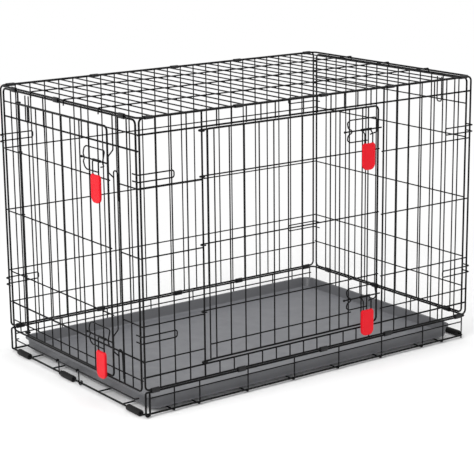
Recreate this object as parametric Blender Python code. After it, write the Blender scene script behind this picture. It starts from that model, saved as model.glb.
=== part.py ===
"""Folding wire dog crate with two doors, slide bolts, a floor pan and a pan stop.

Metres, +Z up.  The origin is on the floor under the middle of the crate, X runs along the long
side and the front panel with the large door faces -Y.
"""

import dataclasses
import math

import bmesh
import bpy
from mathutils import Matrix, Vector

# Overall sizes, measured between the wire centres of the frames
CRATE_LENGTH = 0.914
CRATE_WIDTH = 0.584
CRATE_HEIGHT = 0.635
BASE_WALL_HEIGHT = 0.057

# Wire radii
MESH_RADIUS = 0.0015
FRAME_RADIUS = 0.0022
OPENING_RADIUS = 0.0020
FLOOR_RADIUS = 0.0018
BOLT_RADIUS = 0.0017

# Clearances and weld depths
HAIR_GAP = 0.0002
SEAT_GAP = 0.0003
RUN_GAP = 0.0005
WELD_DEPTH = 0.0002

# Facets round a wire, round a turned piece and along a small bend
MESH_SIDES = 6
ROUND_SIDES = 8
FOOT_SIDES = 10
HOOK_STEPS = 1

# Greatest share of a straight run that one bend takes, between two bends and at a wire's end
SHARED_STRAIGHT = 0.49
END_STRAIGHT = 0.98

# Pitch and bends of the grids
MESH_PITCH = 0.0381
END_PITCH = 0.0384
END_DOOR_PITCH = 0.0356
FRAME_BEND = 0.010
LAYER = 2 * MESH_RADIUS + HAIR_GAP

# Rails of a panel: drops below its top edge, then rises above its bottom edge
LONG_RAIL_DROP = 0.145
LONG_RAIL_RISES = (0.1381, 0.0611)
RIGHT_RAIL_DROPS = (0.0591, 0.1381)
RIGHT_RAIL_RISES = (0.1411, 0.0681)
LEFT_RAIL_DROP = 0.1421
LEFT_RAIL_RISE = 0.141

# Door opening of the front panel and its door
FRONT_HINGE_BAY = 4
FRONT_LATCH_BAY = 17
FRONT_OPENING_DROP = 0.034
FRONT_OPENING_RISE = 0.0271
FRONT_DOOR_TOP_GAP = 0.007
FRONT_DOOR_BOTTOM_GAP = 0.005
FRONT_DOOR_RAIL_DROP = 0.138
FRONT_DOOR_RAIL_RISE = 0.1441
FRONT_DOOR_LATCH_GAP = 0.0088
FRONT_DOOR_HINGE_GAP = 0.0208
FRONT_DOOR_FIRST_WIRE = 0.016
FRONT_DOOR_PITCH = 0.039
FRONT_DOOR_LATCH_WIRES = (0.1106, 0.0836, 0.0456, 0.0286)

# Door opening of the left end and its door
END_OPENING_SIDE = 0.0672
END_OPENING_DROP = 0.0641
END_OPENING_RISE = 0.066
END_TOP_RAIL_DROP = 0.0301
END_BOTTOM_RAIL_RISE = 0.023
END_SHORT_UPRIGHTS = (-0.097, 0.066)
END_DOOR_DROP = 0.0251
END_DOOR_RISE = 0.009
END_DOOR_RAIL_DROP = 0.1381
END_DOOR_RAIL_RISE = 0.145
END_DOOR_LATCH_GAP = 0.0302
END_DOOR_HINGE_GAP = 0.0192
END_PANEL_OVERLAP = 0.001
RECEIVER_INSET = 0.0142
RECEIVER_REACH = 0.023

# Slide bolts, levers and keepers, measured from the panels' edges, the rod's axis and its tip
FRONT_BOLT_DROP = 0.090
FRONT_BOLT_RISE = 0.0976
END_BOLT_DROP = 0.1011
END_BOLT_RISE = 0.0875
BOLT_TRAVEL = 0.012
END_BOLT_TIP_GAP = 0.007
BOLT_TIP_RADIUS = 0.0009
BOLT_TIP_TAPER = 0.0012
BOLT_HEAD_RADIUS = 0.0027
BOLT_HEAD_PROFILE = ((0.0, 0.6), (0.2, 1.0), (0.75, 1.0), (1.0, 0.5))
BARREL_WALL = 0.0009
BARREL_LENGTH = 0.030
ARM_SPACING = 0.023
ARM_SETBACK = 0.045
KEEPER_RISE = 0.025
KEEPER_NOTCH_SETBACK = 0.0895
KEEPER_LEG_SETBACK = 0.0150
KEEPER_BULGE = 0.007
KEEPER_SHOULDER = 0.01875
KEEPER_WAIST = 0.00875
KEEPER_FOOT = 0.014
KEEPER_TAIL = 0.021
GRIP_WIDTH = 0.035
GRIP_HEIGHT = 0.060
GRIP_THICKNESS = 0.006
GRIP_DROP = 0.030
GRIP_CORNER = 0.009
SOCKET_DEPTH = 0.015

# Corner hooks on the long panels and loops on the ends
HOOK_DROP = 0.1215
HOOK_RISE = 0.1111
HOOK_SPREAD = 0.015
HOOK_LENGTH = 0.080
HOOK_OUTREACH = 0.007
LOOP_DROP = 0.0651
LOOP_TOP_GAP = 0.006
LEFT_LOOP_U = -0.176
RIGHT_LOOP_U = -0.190
TOP_CURL_DROP = 0.010

# Base
BASE_CROSS = (0.064, 0.192, 0.320, 0.385)
BASE_WALL_RAIL = 0.042
BASE_FLOOR_WIRES = (0.100, 0.200)
BASE_END_UPRIGHTS = (0.0, 0.098, 0.196)
TOP_LONG_WIRES = (0.143, 0.0, -0.143)

# Feet, clips, pan and pan stop
FOOT_RADIUS = 0.007
FOOT_LENGTH = 0.050
FOOT_PLACES = (-0.247, 0.030, 0.232)
CLIP_WALL = 0.0011
CLIP_LENGTH = 0.020
CLIP_STEPS = 3
CLIP_BAYS = (0.5, 6.5, 12.5, 17.5, 23.5)
END_CLIP_PLACES = (-0.228, 0.038, 0.228)
PAN_SETBACK = 0.019
PAN_FAR_GAP = 0.027
PAN_SIDE_GAP = 0.0025
PAN_WALL = 0.0024
PAN_HEIGHT = 0.027
PAN_CORNER = 0.030
PAN_TAPER = 0.006
PAN_LIP = 0.003
PAN_CORNER_STEPS = 4
STOP_BAR_HEIGHT = 0.037
STOP_BAR_REACH = 0.0075
STOP_BAR_HALF = 0.262
STOP_LEGS = (-0.063, 0.025)
STOP_END_BEND = 0.010

# Places that follow from the sizes above
HALF_LENGTH = CRATE_LENGTH / 2
HALF_WIDTH = CRATE_WIDTH / 2
PAIR_PITCH = 2 * FRAME_RADIUS + RUN_GAP
PANEL_BOTTOM = BASE_WALL_HEIGHT + PAIR_PITCH
END_PANEL_BOTTOM = BASE_WALL_HEIGHT - END_PANEL_OVERLAP
LONG_BAYS = round(CRATE_LENGTH / MESH_PITCH)
LONG_PITCH = CRATE_LENGTH / LONG_BAYS
FRONT_HINGE_U = -HALF_LENGTH + FRONT_HINGE_BAY * LONG_PITCH
FRONT_LATCH_U = -HALF_LENGTH + FRONT_LATCH_BAY * LONG_PITCH
END_TOP = CRATE_HEIGHT - PAIR_PITCH
TOP_HALF = HALF_WIDTH - PAIR_PITCH
BASE_RING_HALF = HALF_WIDTH - 2 * FRAME_RADIUS - SEAT_GAP
BASE_INNER_HALF = HALF_WIDTH - MESH_RADIUS - SEAT_GAP
BARREL_RADIUS = BOLT_RADIUS + SEAT_GAP + BARREL_WALL
HEAD_SETBACK = KEEPER_NOTCH_SETBACK + MESH_RADIUS + SEAT_GAP + BOLT_TRAVEL
BOLT_LENGTH = HEAD_SETBACK + 2 * BOLT_HEAD_RADIUS
BOLT_STANDOFF = MESH_RADIUS + BARREL_RADIUS + SEAT_GAP
KEEPER_STANDOFF = BOLT_RADIUS + SEAT_GAP + MESH_RADIUS
FRONT_BOLT_W = -(OPENING_RADIUS + SEAT_GAP + BOLT_RADIUS)
FRONT_DOOR_W = FRONT_BOLT_W - BOLT_STANDOFF
FRONT_RAIL_W = FRONT_DOOR_W + LAYER
END_HALF = HALF_WIDTH + FRONT_DOOR_W - FRAME_RADIUS - RUN_GAP - FRAME_RADIUS
HOOK_TIP = HALF_WIDTH - END_HALF + 2 * FRAME_RADIUS
END_RAIL_W = OPENING_RADIUS + SEAT_GAP + FRAME_RADIUS
END_DOOR_W = END_RAIL_W + LAYER
END_BOLT_W = END_DOOR_W + BOLT_STANDOFF
FRONT_BOLT_TIP_U = FRONT_LATCH_U - OPENING_RADIUS - RUN_GAP
END_LATCH_U = END_HALF - END_OPENING_SIDE
END_HINGE_U = -END_LATCH_U
RECEIVER_U = END_LATCH_U - RECEIVER_INSET
RECEIVER_NEAR_W = FRAME_RADIUS + MESH_RADIUS + HAIR_GAP
END_BOLT_TIP_U = RECEIVER_U - END_BOLT_TIP_GAP
BASE_CROSS_Z = FOOT_RADIUS - LAYER
FLOOR_WIRE_Z = BASE_CROSS_Z + MESH_RADIUS + HAIR_GAP + FLOOR_RADIUS
PAN_BOTTOM = FOOT_RADIUS + FRAME_RADIUS + SEAT_GAP
PAN_LENGTH = CRATE_LENGTH - PAN_SETBACK - PAN_FAR_GAP

# Heights that follow from the panels' edges
FRONT_OPENING_TOP = CRATE_HEIGHT - FRONT_OPENING_DROP
FRONT_OPENING_BOTTOM = PANEL_BOTTOM + FRONT_OPENING_RISE
END_OPENING_TOP = END_TOP - END_OPENING_DROP
END_OPENING_BOTTOM = END_PANEL_BOTTOM + END_OPENING_RISE
HOOK_HEIGHTS = (CRATE_HEIGHT - HOOK_DROP, PANEL_BOTTOM + HOOK_RISE)


def with_middle(high, low):
    """The two heights and the one half way between them, from the top down."""
    return [high, (high + low) / 2, low]


LONG_RAILS = with_middle(CRATE_HEIGHT - LONG_RAIL_DROP, PANEL_BOTTOM + LONG_RAIL_RISES[0])
LONG_RAILS.append(PANEL_BOTTOM + LONG_RAIL_RISES[1])
RIGHT_RAILS = with_middle(END_TOP - RIGHT_RAIL_DROPS[1], PANEL_BOTTOM + RIGHT_RAIL_RISES[0])
RIGHT_RAILS += [END_TOP - RIGHT_RAIL_DROPS[0], PANEL_BOTTOM + RIGHT_RAIL_RISES[1]]
LEFT_RAILS = with_middle(END_TOP - LEFT_RAIL_DROP, END_PANEL_BOTTOM + LEFT_RAIL_RISE)


class Face:
    """A panel's own directions: u across, v up and w out of the crate."""

    def __init__(self, origin, u, v):
        self.origin = Vector(origin)
        self.u = Vector(u)
        self.v = Vector(v)
        self.w = self.u.cross(self.v)

    def at(self, u, v, w=0.0):
        """World point of a place on the face."""
        return self.origin + self.u * u + self.v * v + self.w * w


FRONT = Face((0, -HALF_WIDTH, 0), (1, 0, 0), (0, 0, 1))
BACK = Face((0, HALF_WIDTH, 0), (-1, 0, 0), (0, 0, 1))
LEFT = Face((-HALF_LENGTH, 0, 0), (0, -1, 0), (0, 0, 1))
RIGHT = Face((HALF_LENGTH, 0, 0), (0, 1, 0), (0, 0, 1))
TOP = Face((0, 0, CRATE_HEIGHT), (1, 0, 0), (0, 1, 0))


def clear_scene():
    """Remove every object of the open file."""
    for item in list(bpy.data.objects):
        bpy.data.objects.remove(item, do_unlink=True)


def material(name, colour, roughness, metallic):
    """A Principled material."""
    made = bpy.data.materials.new(name)
    made.use_nodes = True
    shader = made.node_tree.nodes["Principled BSDF"]
    shader.inputs["Base Color"].default_value = (*colour, 1.0)
    shader.inputs["Roughness"].default_value = roughness
    shader.inputs["Metallic"].default_value = metallic
    return made


def rounded(points, radius, steps=3, closed=False):
    """Points of a path whose corners are arcs of the given radius."""
    points = [Vector(p) for p in points]
    count = len(points)
    path = []
    for index, corner in enumerate(points):
        if not closed and index in (0, count - 1):
            path.append(corner)
            continue
        back = points[index - 1] - corner
        ahead = points[(index + 1) % count] - corner
        angle = back.angle(ahead)
        shares = [SHARED_STRAIGHT, SHARED_STRAIGHT]
        if not closed and index == 1:
            shares[0] = END_STRAIGHT
        if not closed and index == count - 2:
            shares[1] = END_STRAIGHT
        room = min(shares[0] * back.length, shares[1] * ahead.length)
        trim = min(radius / math.tan(angle / 2), room)
        bend = trim * math.tan(angle / 2)
        back.normalize()
        ahead.normalize()
        centre = corner + (back + ahead).normalized() * (bend / math.sin(angle / 2))
        start = (corner + back * trim - centre).normalized()
        finish = (corner + ahead * trim - centre).normalized()
        for step in range(steps + 1):
            path.append(centre + start.slerp(finish, step / steps, start) * bend)
    return path


def add_tube(bm, path, radius, sides, up, closed=False):
    """Add a wire of constant section along a path, mitred at each bend."""
    count = len(path)
    first = (path[1] - path[0]).normalized()
    side = (up - first * up.dot(first)).normalized()
    other = first.cross(side)
    offsets = []
    for index in range(sides):
        turn = 2 * math.pi * index / sides
        offsets.append(side * (radius * math.cos(turn)) + other * (radius * math.sin(turn)))
    rings = []
    for index, point in enumerate(path):
        if closed or index < count - 1:
            ahead = (path[(index + 1) % count] - point).normalized()
        else:
            ahead = (point - path[index - 1]).normalized()
        if closed or index > 0:
            behind = (point - path[index - 1]).normalized()
        else:
            behind = ahead
        normal = (behind + ahead).normalized()
        source = behind
        if index == 0:
            source = first
            if closed:
                source = ahead
        ring = []
        for place, offset in enumerate(offsets):
            shift = offset - source * (offset.dot(normal) / source.dot(normal))
            ring.append(bm.verts.new(point + shift))
            offsets[place] = shift - ahead * shift.dot(ahead)
        rings.append(ring)
    spans = list(zip(rings, rings[1:]))
    if closed:
        spans.append((rings[-1], rings[0]))
    for near, far in spans:
        for index in range(sides):
            after = (index + 1) % sides
            bm.faces.new((near[index], near[after], far[after], far[index]))
    if not closed:
        bm.faces.new(list(reversed(rings[0])))
        bm.faces.new(rings[-1])


class Wires:
    """A group of wires that don't touch one another."""

    def __init__(self, face=None):
        self.face = face
        self.bm = bmesh.new()

    def path(self, points, radius=MESH_RADIUS, sides=MESH_SIDES, up=None, closed=False):
        """Add a wire through world points."""
        if up is None:
            up = self.face.w
        add_tube(self.bm, [Vector(p) for p in points], radius, sides, up, closed)

    def bent(self, points, bend, radius=MESH_RADIUS, steps=2, up=None, closed=False):
        """Add a wire through face points (u, v, w), with round bends."""
        places = [self.face.at(*point) for point in points]
        self.path(rounded(places, bend, steps, closed), radius, up=up, closed=closed)

    def upright(self, u, low, high, w=0.0, radius=MESH_RADIUS, sides=MESH_SIDES):
        """Add a straight wire along v."""
        self.path([self.face.at(u, low, w), self.face.at(u, high, w)], radius, sides)

    def rail(self, v, start, end, w=0.0, radius=MESH_RADIUS, sides=MESH_SIDES):
        """Add a straight wire along u."""
        self.path([self.face.at(start, v, w), self.face.at(end, v, w)], radius, sides)

    def mesh(self):
        """Turn the group into a mesh."""
        bmesh.ops.recalc_face_normals(self.bm, faces=self.bm.faces)
        made = bpy.data.meshes.new("wires")
        self.bm.to_mesh(made)
        self.bm.free()
        return made


def temporary(mesh):
    """A linked object that holds a mesh for a Boolean."""
    item = bpy.data.objects.new("operand", mesh)
    bpy.context.collection.objects.link(item)
    return item


def combined(first, others, operation="UNION"):
    """Mesh of the first mesh with the others joined to it or cut from it."""
    body = temporary(first)
    helpers = []
    for mesh in others:
        helper = temporary(mesh)
        helpers.append(helper)
        boolean = body.modifiers.new("join", "BOOLEAN")
        boolean.operation = operation
        boolean.solver = "EXACT"
        boolean.object = helper
    graph = bpy.context.evaluated_depsgraph_get()
    result = bpy.data.meshes.new_from_object(body.evaluated_get(graph))
    for item in [body, *helpers]:
        bpy.data.objects.remove(item, do_unlink=True)
    return result


def place_piece(name, mesh, finish, origin=(0.0, 0.0, 0.0), sharp=50.0):
    """Make the named object of a piece, with its origin on its joint's axis."""
    origin = Vector(origin)
    mesh.transform(Matrix.Translation(-origin))
    mesh.materials.clear()
    mesh.materials.append(finish)
    mesh.shade_smooth()
    mesh.set_sharp_from_angle(angle=math.radians(sharp))
    mesh.name = name
    item = bpy.data.objects.new(name, mesh)
    item.location = origin
    bpy.context.collection.objects.link(item)
    return item


def frame_ring(face, left, right, bottom, top):
    """Closed frame wire with round corners."""
    ring = Wires(face)
    corners = [(left, bottom, 0), (right, bottom, 0), (right, top, 0), (left, top, 0)]
    ring.bent(corners, FRAME_BEND, FRAME_RADIUS, closed=True)
    return ring


def corner_hooks(face):
    """Flat loops at the corners of a long panel, whose tips reach round the end panel's edge."""
    hooks = Wires(face)
    w = LAYER
    for height in HOOK_HEIGHTS:
        high = height + HOOK_SPREAD / 2
        low = height - HOOK_SPREAD / 2
        for side in (-1, 1):
            corner = side * (HALF_LENGTH + HOOK_OUTREACH)
            closed_end = side * (HALF_LENGTH - HOOK_LENGTH)
            points = [
                (corner, high, -HOOK_TIP),
                (corner, high, w),
                (closed_end, high, w),
                (closed_end, low, w),
                (corner, low, w),
                (corner, low, -HOOK_TIP),
            ]
            hooks.bent(points, HOOK_SPREAD / 3, steps=HOOK_STEPS, up=face.u)
    return hooks


def long_uprights():
    """Positions of a long panel's uprights between its frame wires."""
    return [-HALF_LENGTH + bay * LONG_PITCH for bay in range(1, LONG_BAYS)]


def back_panel(finish):
    """Plain long panel."""
    ring = frame_ring(BACK, -HALF_LENGTH, HALF_LENGTH, PANEL_BOTTOM, CRATE_HEIGHT)
    uprights = Wires(BACK)
    for u in long_uprights():
        uprights.upright(u, PANEL_BOTTOM, CRATE_HEIGHT)
    rails = Wires(BACK)
    end = HALF_LENGTH + FRAME_RADIUS
    for v in LONG_RAILS:
        rails.rail(v, -end, end, -LAYER)
    groups = [uprights.mesh(), rails.mesh(), corner_hooks(BACK).mesh()]
    mesh = combined(ring.mesh(), groups)
    place_piece("back_panel", mesh, finish, BACK.at(0, PANEL_BOTTOM))


def front_panel(finish):
    """Long panel with the door opening, whose edges are thicker wires."""
    ring = frame_ring(FRONT, -HALF_LENGTH, HALF_LENGTH, PANEL_BOTTOM, CRATE_HEIGHT)
    uprights = Wires(FRONT)
    for bay in range(1, LONG_BAYS):
        u = -HALF_LENGTH + bay * LONG_PITCH
        if bay in (FRONT_HINGE_BAY, FRONT_LATCH_BAY):
            uprights.upright(u, PANEL_BOTTOM, CRATE_HEIGHT, 0.0, OPENING_RADIUS)
        elif FRONT_HINGE_BAY < bay < FRONT_LATCH_BAY:
            uprights.upright(u, FRONT_OPENING_TOP - OPENING_RADIUS, CRATE_HEIGHT)
            uprights.upright(u, PANEL_BOTTOM, FRONT_OPENING_BOTTOM + OPENING_RADIUS)
        else:
            uprights.upright(u, PANEL_BOTTOM, CRATE_HEIGHT)
    rails = Wires(FRONT)
    end = HALF_LENGTH + FRAME_RADIUS
    for v in LONG_RAILS:
        rails.rail(v, -end, FRONT_HINGE_U + OPENING_RADIUS, -LAYER)
        rails.rail(v, FRONT_LATCH_U - OPENING_RADIUS, end, -LAYER)
    for v in (FRONT_OPENING_TOP, FRONT_OPENING_BOTTOM):
        rails.rail(v, -end, end, -LAYER, OPENING_RADIUS)
    groups = [uprights.mesh(), rails.mesh(), corner_hooks(FRONT).mesh()]
    mesh = combined(ring.mesh(), groups)
    place_piece("front_panel", mesh, finish, FRONT.at(0, PANEL_BOTTOM))


def top_panel(finish):
    """Top grid, whose long wires curl down over the end edges."""
    ring = frame_ring(TOP, -HALF_LENGTH, HALF_LENGTH, -TOP_HALF, TOP_HALF)
    crosses = Wires(TOP)
    for u in long_uprights():
        crosses.upright(u, -TOP_HALF, TOP_HALF)
    longs = Wires(TOP)
    out = HALF_LENGTH + FRAME_RADIUS + SEAT_GAP + MESH_RADIUS
    drop = -TOP_CURL_DROP
    for v in TOP_LONG_WIRES:
        points = [(-out, v, drop), (-out, v, LAYER), (out, v, LAYER), (out, v, drop)]
        longs.bent(points, 2 * MESH_RADIUS, up=TOP.u)
    mesh = combined(ring.mesh(), [crosses.mesh(), longs.mesh()])
    place_piece("top_panel", mesh, finish, TOP.at(0, 0))


def top_loop(face, centre):
    """Narrow loop that hangs from the top frame wire of an end panel, on its inner side."""
    loop = Wires(face)
    low = END_TOP - LOOP_DROP
    left = centre - HOOK_SPREAD / 2
    right = centre + HOOK_SPREAD / 2
    high = END_TOP - LOOP_TOP_GAP
    points = [(left, high, -LAYER), (left, low, -LAYER)]
    points += [(right, low, -LAYER), (right, high, -LAYER)]
    loop.bent(points, HOOK_SPREAD / 3)
    return loop


def right_end(finish):
    """Plain end panel, hinged on the wall of the base."""
    ring = frame_ring(RIGHT, -END_HALF, END_HALF, PANEL_BOTTOM, END_TOP)
    uprights = Wires(RIGHT)
    bays = round(2 * END_HALF / END_PITCH)
    pitch = 2 * END_HALF / bays
    for bay in range(1, bays):
        uprights.upright(-END_HALF + bay * pitch, PANEL_BOTTOM, END_TOP)
    rails = Wires(RIGHT)
    end = END_HALF + MESH_RADIUS
    for v in RIGHT_RAILS:
        rails.rail(v, -end, end, -LAYER)
    loop = top_loop(RIGHT, RIGHT_LOOP_U)
    mesh = combined(ring.mesh(), [uprights.mesh(), rails.mesh(), loop.mesh()])
    place_piece("right_end", mesh, finish, RIGHT.at(0, PANEL_BOTTOM))


def receiver(finish):
    """Wire on the left end that stands out in front of the bolts' tips."""
    wire = Wires(LEFT)
    near = RECEIVER_NEAR_W
    far = END_BOLT_W + KEEPER_STANDOFF
    slope = far - near
    points = [(RECEIVER_U, END_TOP, near)]
    for bolt in (END_TOP - END_BOLT_DROP, END_PANEL_BOTTOM + END_BOLT_RISE):
        points.append((RECEIVER_U, bolt + RECEIVER_REACH + slope / 2, near))
        points.append((RECEIVER_U, bolt + RECEIVER_REACH - slope / 2, far))
        points.append((RECEIVER_U, bolt - RECEIVER_REACH + slope / 2, far))
        points.append((RECEIVER_U, bolt - RECEIVER_REACH - slope / 2, near))
    points.append((RECEIVER_U, END_PANEL_BOTTOM, near))
    wire.bent(points, 2 * MESH_RADIUS, steps=1)
    place_piece("bolt_receiver", wire.mesh(), finish, LEFT.at(RECEIVER_U, END_TOP, near))


def left_end(finish):
    """End panel with the door opening, hung from the top panel."""
    ring = frame_ring(LEFT, -END_HALF, END_HALF, END_PANEL_BOTTOM, END_TOP)
    uprights = Wires(LEFT)
    side = (END_LATCH_U + END_HALF) / 2
    for u in (-side, side):
        uprights.upright(u, END_PANEL_BOTTOM, END_TOP)
    for u in (END_HINGE_U, END_LATCH_U):
        uprights.upright(u, END_PANEL_BOTTOM, END_TOP, 0.0, OPENING_RADIUS)
    for u in END_SHORT_UPRIGHTS:
        uprights.upright(u, END_OPENING_TOP - OPENING_RADIUS, END_TOP)
    rails = Wires(LEFT)
    end = END_HALF + MESH_RADIUS
    for v in LEFT_RAILS:
        rails.rail(v, -end, END_HINGE_U + OPENING_RADIUS, -LAYER)
        rails.rail(v, END_LATCH_U - OPENING_RADIUS, end, -LAYER)
    for v in (END_TOP - END_TOP_RAIL_DROP, END_PANEL_BOTTOM + END_BOTTOM_RAIL_RISE):
        rails.rail(v, -end, end, -LAYER)
    for v in (END_OPENING_TOP, END_OPENING_BOTTOM):
        rails.rail(v, -end, end, -LAYER, OPENING_RADIUS)
    groups = [uprights.mesh(), rails.mesh(), top_loop(LEFT, LEFT_LOOP_U).mesh()]
    mesh = combined(ring.mesh(), groups)
    place_piece("left_end", mesh, finish, LEFT.at(0, END_TOP))


@dataclasses.dataclass
class Door:
    """A hinged wire door with two keepers, slide bolts, levers and grips."""

    name: str
    face: Face
    hinge: float
    left: float
    right: float
    bottom: float
    top: float
    plane: float
    rail_w: float
    rails: list
    uprights: list
    tip: float
    bolts: tuple
    grip_w: float

    def hook(self, v, radius_w):
        """Points of a hook round the hinge wire, from its free tip to the door's side."""
        side = math.copysign(1.0, self.rail_w)
        points = []
        for degrees in (120, 90, 45, 0, -45, -90):
            turn = math.radians(degrees)
            u = self.hinge - radius_w * math.cos(turn)
            w = -side * radius_w * math.sin(turn)
            points.append((u, v, w))
        return points

    def frame(self):
        """Frame wire: hook, top, latch side, bottom, hook."""
        wires = Wires(self.face)
        reach = abs(self.rail_w)
        near = self.left - 2 * FRAME_RADIUS
        points = [self.face.at(*p) for p in self.hook(self.top, reach)]
        top_run = [
            (near, self.top, self.rail_w),
            (self.left + 2 * FRAME_RADIUS, self.top, self.plane),
            (self.right, self.top, self.plane),
            (self.right, self.bottom, self.plane),
            (self.left + 2 * FRAME_RADIUS, self.bottom, self.plane),
            (near, self.bottom, self.rail_w),
        ]
        run = [self.face.at(*p) for p in top_run]
        start = run[:2]
        corners = rounded(run[1:5], FRAME_BEND, 3)[1:-1]
        finish = run[4:]
        tail = [self.face.at(*p) for p in reversed(self.hook(self.bottom, reach))]
        points += start + corners + finish + tail
        wires.path(points, FRAME_RADIUS, MESH_SIDES)
        return wires

    def grid(self):
        """Uprights of the door, from frame to frame."""
        wires = Wires(self.face)
        for u in self.uprights:
            wires.upright(u, self.bottom, self.top, self.plane)
        return wires

    def hooked_rails(self):
        """Rails that end in hooks round the hinge wire."""
        wires = Wires(self.face)
        for v in self.rails:
            points = self.hook(v, abs(self.rail_w))
            points.append((self.right + MESH_RADIUS, v, self.rail_w))
            wires.path([self.face.at(*p) for p in points])
        return wires

    def keepers(self):
        """Bent wires that hold the two bolts against the door."""
        wires = Wires(self.face)
        near = self.plane + 2 * MESH_RADIUS - WELD_DEPTH
        over = self.bolt_w + KEEPER_STANDOFF
        notch = self.tip - KEEPER_NOTCH_SETBACK
        leg = self.tip - KEEPER_LEG_SETBACK
        bulge = notch - KEEPER_BULGE
        mid = (near + over) / 2
        for v in self.bolts:
            points = [
                (leg - KEEPER_FOOT, v - KEEPER_RISE / 2, near),
                (leg, v - KEEPER_RISE / 3, mid),
                (leg, v, over),
                (leg, v + KEEPER_RISE, near),
                (notch, v + KEEPER_RISE, near),
                (bulge, v + KEEPER_SHOULDER, near),
                (bulge, v + KEEPER_WAIST, mid),
                (notch, v, over),
                (bulge, v - KEEPER_WAIST, mid),
                (bulge, v - KEEPER_SHOULDER, near),
                (notch, v - KEEPER_RISE, near),
                (leg - KEEPER_TAIL, v - KEEPER_RISE, near),
            ]
            wires.bent(points, MESH_RADIUS, steps=1)
        return wires

    @property
    def bolt_w(self):
        """Distance of the bolts' axes from the panel's plane."""
        return self.plane + BOLT_STANDOFF

    def make_door(self, finish):
        """The welded door."""
        groups = [self.grid().mesh(), self.hooked_rails().mesh(), self.keepers().mesh()]
        mesh = combined(self.frame().mesh(), groups)
        place_piece(self.name, mesh, finish, self.face.at(self.hinge, self.bottom))

    def make_bolt(self, label, v, finish):
        """Rod with a rounded head and a rounded tip."""
        bm = bmesh.new()
        profile = [(0.0, BOLT_TIP_RADIUS), (BOLT_TIP_TAPER, BOLT_RADIUS)]
        for along, swell in BOLT_HEAD_PROFILE:
            place = HEAD_SETBACK + along * (BOLT_LENGTH - HEAD_SETBACK)
            profile.append((place, swell * BOLT_HEAD_RADIUS))
        rings = []
        for back, radius in profile:
            ring = []
            for index in range(ROUND_SIDES):
                turn = 2 * math.pi * index / ROUND_SIDES
                place = self.face.at(
                    self.tip - back,
                    v + radius * math.sin(turn),
                    self.bolt_w + radius * math.cos(turn),
                )
                ring.append(bm.verts.new(place))
            rings.append(ring)
        finish_rings(bm, rings)
        mesh = to_mesh(bm)
        place_piece(label, mesh, finish, self.face.at(self.tip, v, self.bolt_w))

    def make_lever(self, label, v, finish):
        """Barrel on the rod with two arms that run down into the grip."""
        middle = self.tip - ARM_SETBACK
        barrel = tube_shell(
            self.face.at(middle - BARREL_LENGTH / 2, v, self.bolt_w),
            self.face.at(middle + BARREL_LENGTH / 2, v, self.bolt_w),
            BARREL_RADIUS,
            BOLT_RADIUS + SEAT_GAP,
            self.face.w,
            ROUND_SIDES,
        )
        arms = Wires(self.face)
        for u in (middle - ARM_SPACING / 2, middle + ARM_SPACING / 2):
            arms.bent(self.arm_points(u, v), MESH_RADIUS, steps=1, up=self.face.u)
        mesh = combined(barrel, [arms.mesh()])
        place_piece(label, mesh, finish, self.face.at(middle, v, self.bolt_w))

    def arm_points(self, u, v):
        """Centre line of one arm."""
        reach = self.grip_w - self.bolt_w
        seat = (BOLT_RADIUS + SEAT_GAP + BARREL_WALL / 2) * math.cos(math.pi / 4)
        return [
            (u, v - seat, self.bolt_w + seat),
            (u, v - reach, self.grip_w),
            (u, v - GRIP_DROP - SOCKET_DEPTH, self.grip_w),
        ]

    def make_grip(self, label, v, finish):
        """Flat plastic grip with rounded corners and two sockets for the arms."""
        middle = self.tip - ARM_SETBACK
        out = self.grip_w
        top = v - GRIP_DROP
        bm = bmesh.new()
        rings = []
        half = GRIP_THICKNESS / 2
        soft = GRIP_THICKNESS / 5
        for inset, w in ((soft, -half), (0, -half + soft), (0, half - soft), (soft, half)):
            ring = []
            outline = rounded_box(GRIP_WIDTH - 2 * inset, GRIP_HEIGHT - 2 * inset, GRIP_CORNER)
            for du, dv in outline:
                place = self.face.at(middle + du, top - GRIP_HEIGHT / 2 + dv, out + w)
                ring.append(bm.verts.new(place))
            rings.append(ring)
        finish_rings(bm, rings)
        sockets = Wires(self.face)
        for u in (middle - ARM_SPACING / 2, middle + ARM_SPACING / 2):
            bore = MESH_RADIUS + SEAT_GAP
            sockets.upright(u, top - SOCKET_DEPTH - SEAT_GAP, top + SEAT_GAP, out, bore)
        mesh = combined(to_mesh(bm), [sockets.mesh()], "DIFFERENCE")
        place_piece(label, mesh, finish, self.face.at(middle, v, self.bolt_w))


def rounded_box(width, height, corner, steps=2):
    """Outline of a rectangle with round corners, about its centre."""
    half_w = width / 2 - corner
    half_h = height / 2 - corner
    outline = []
    for index, (side, up) in enumerate(((1, 1), (-1, 1), (-1, -1), (1, -1))):
        for step in range(steps + 1):
            turn = math.pi / 2 * (index + step / steps)
            across = side * half_w + corner * math.cos(turn)
            outline.append((across, up * half_h + corner * math.sin(turn)))
    return outline


def finish_rings(bm, rings, closed=False):
    """Skin a list of rings and cap its ends, or join the last ring to the first."""
    pairs = list(zip(rings, rings[1:]))
    if closed:
        pairs.append((rings[-1], rings[0]))
    for near, far in pairs:
        for index in range(len(near)):
            after = (index + 1) % len(near)
            bm.faces.new((near[index], near[after], far[after], far[index]))
    if not closed:
        bm.faces.new(rings[0])
        bm.faces.new(rings[-1])


def to_mesh(bm):
    """Close a bmesh into a mesh with outward faces."""
    bmesh.ops.recalc_face_normals(bm, faces=bm.faces)
    made = bpy.data.meshes.new("piece")
    bm.to_mesh(made)
    bm.free()
    return made


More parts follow.
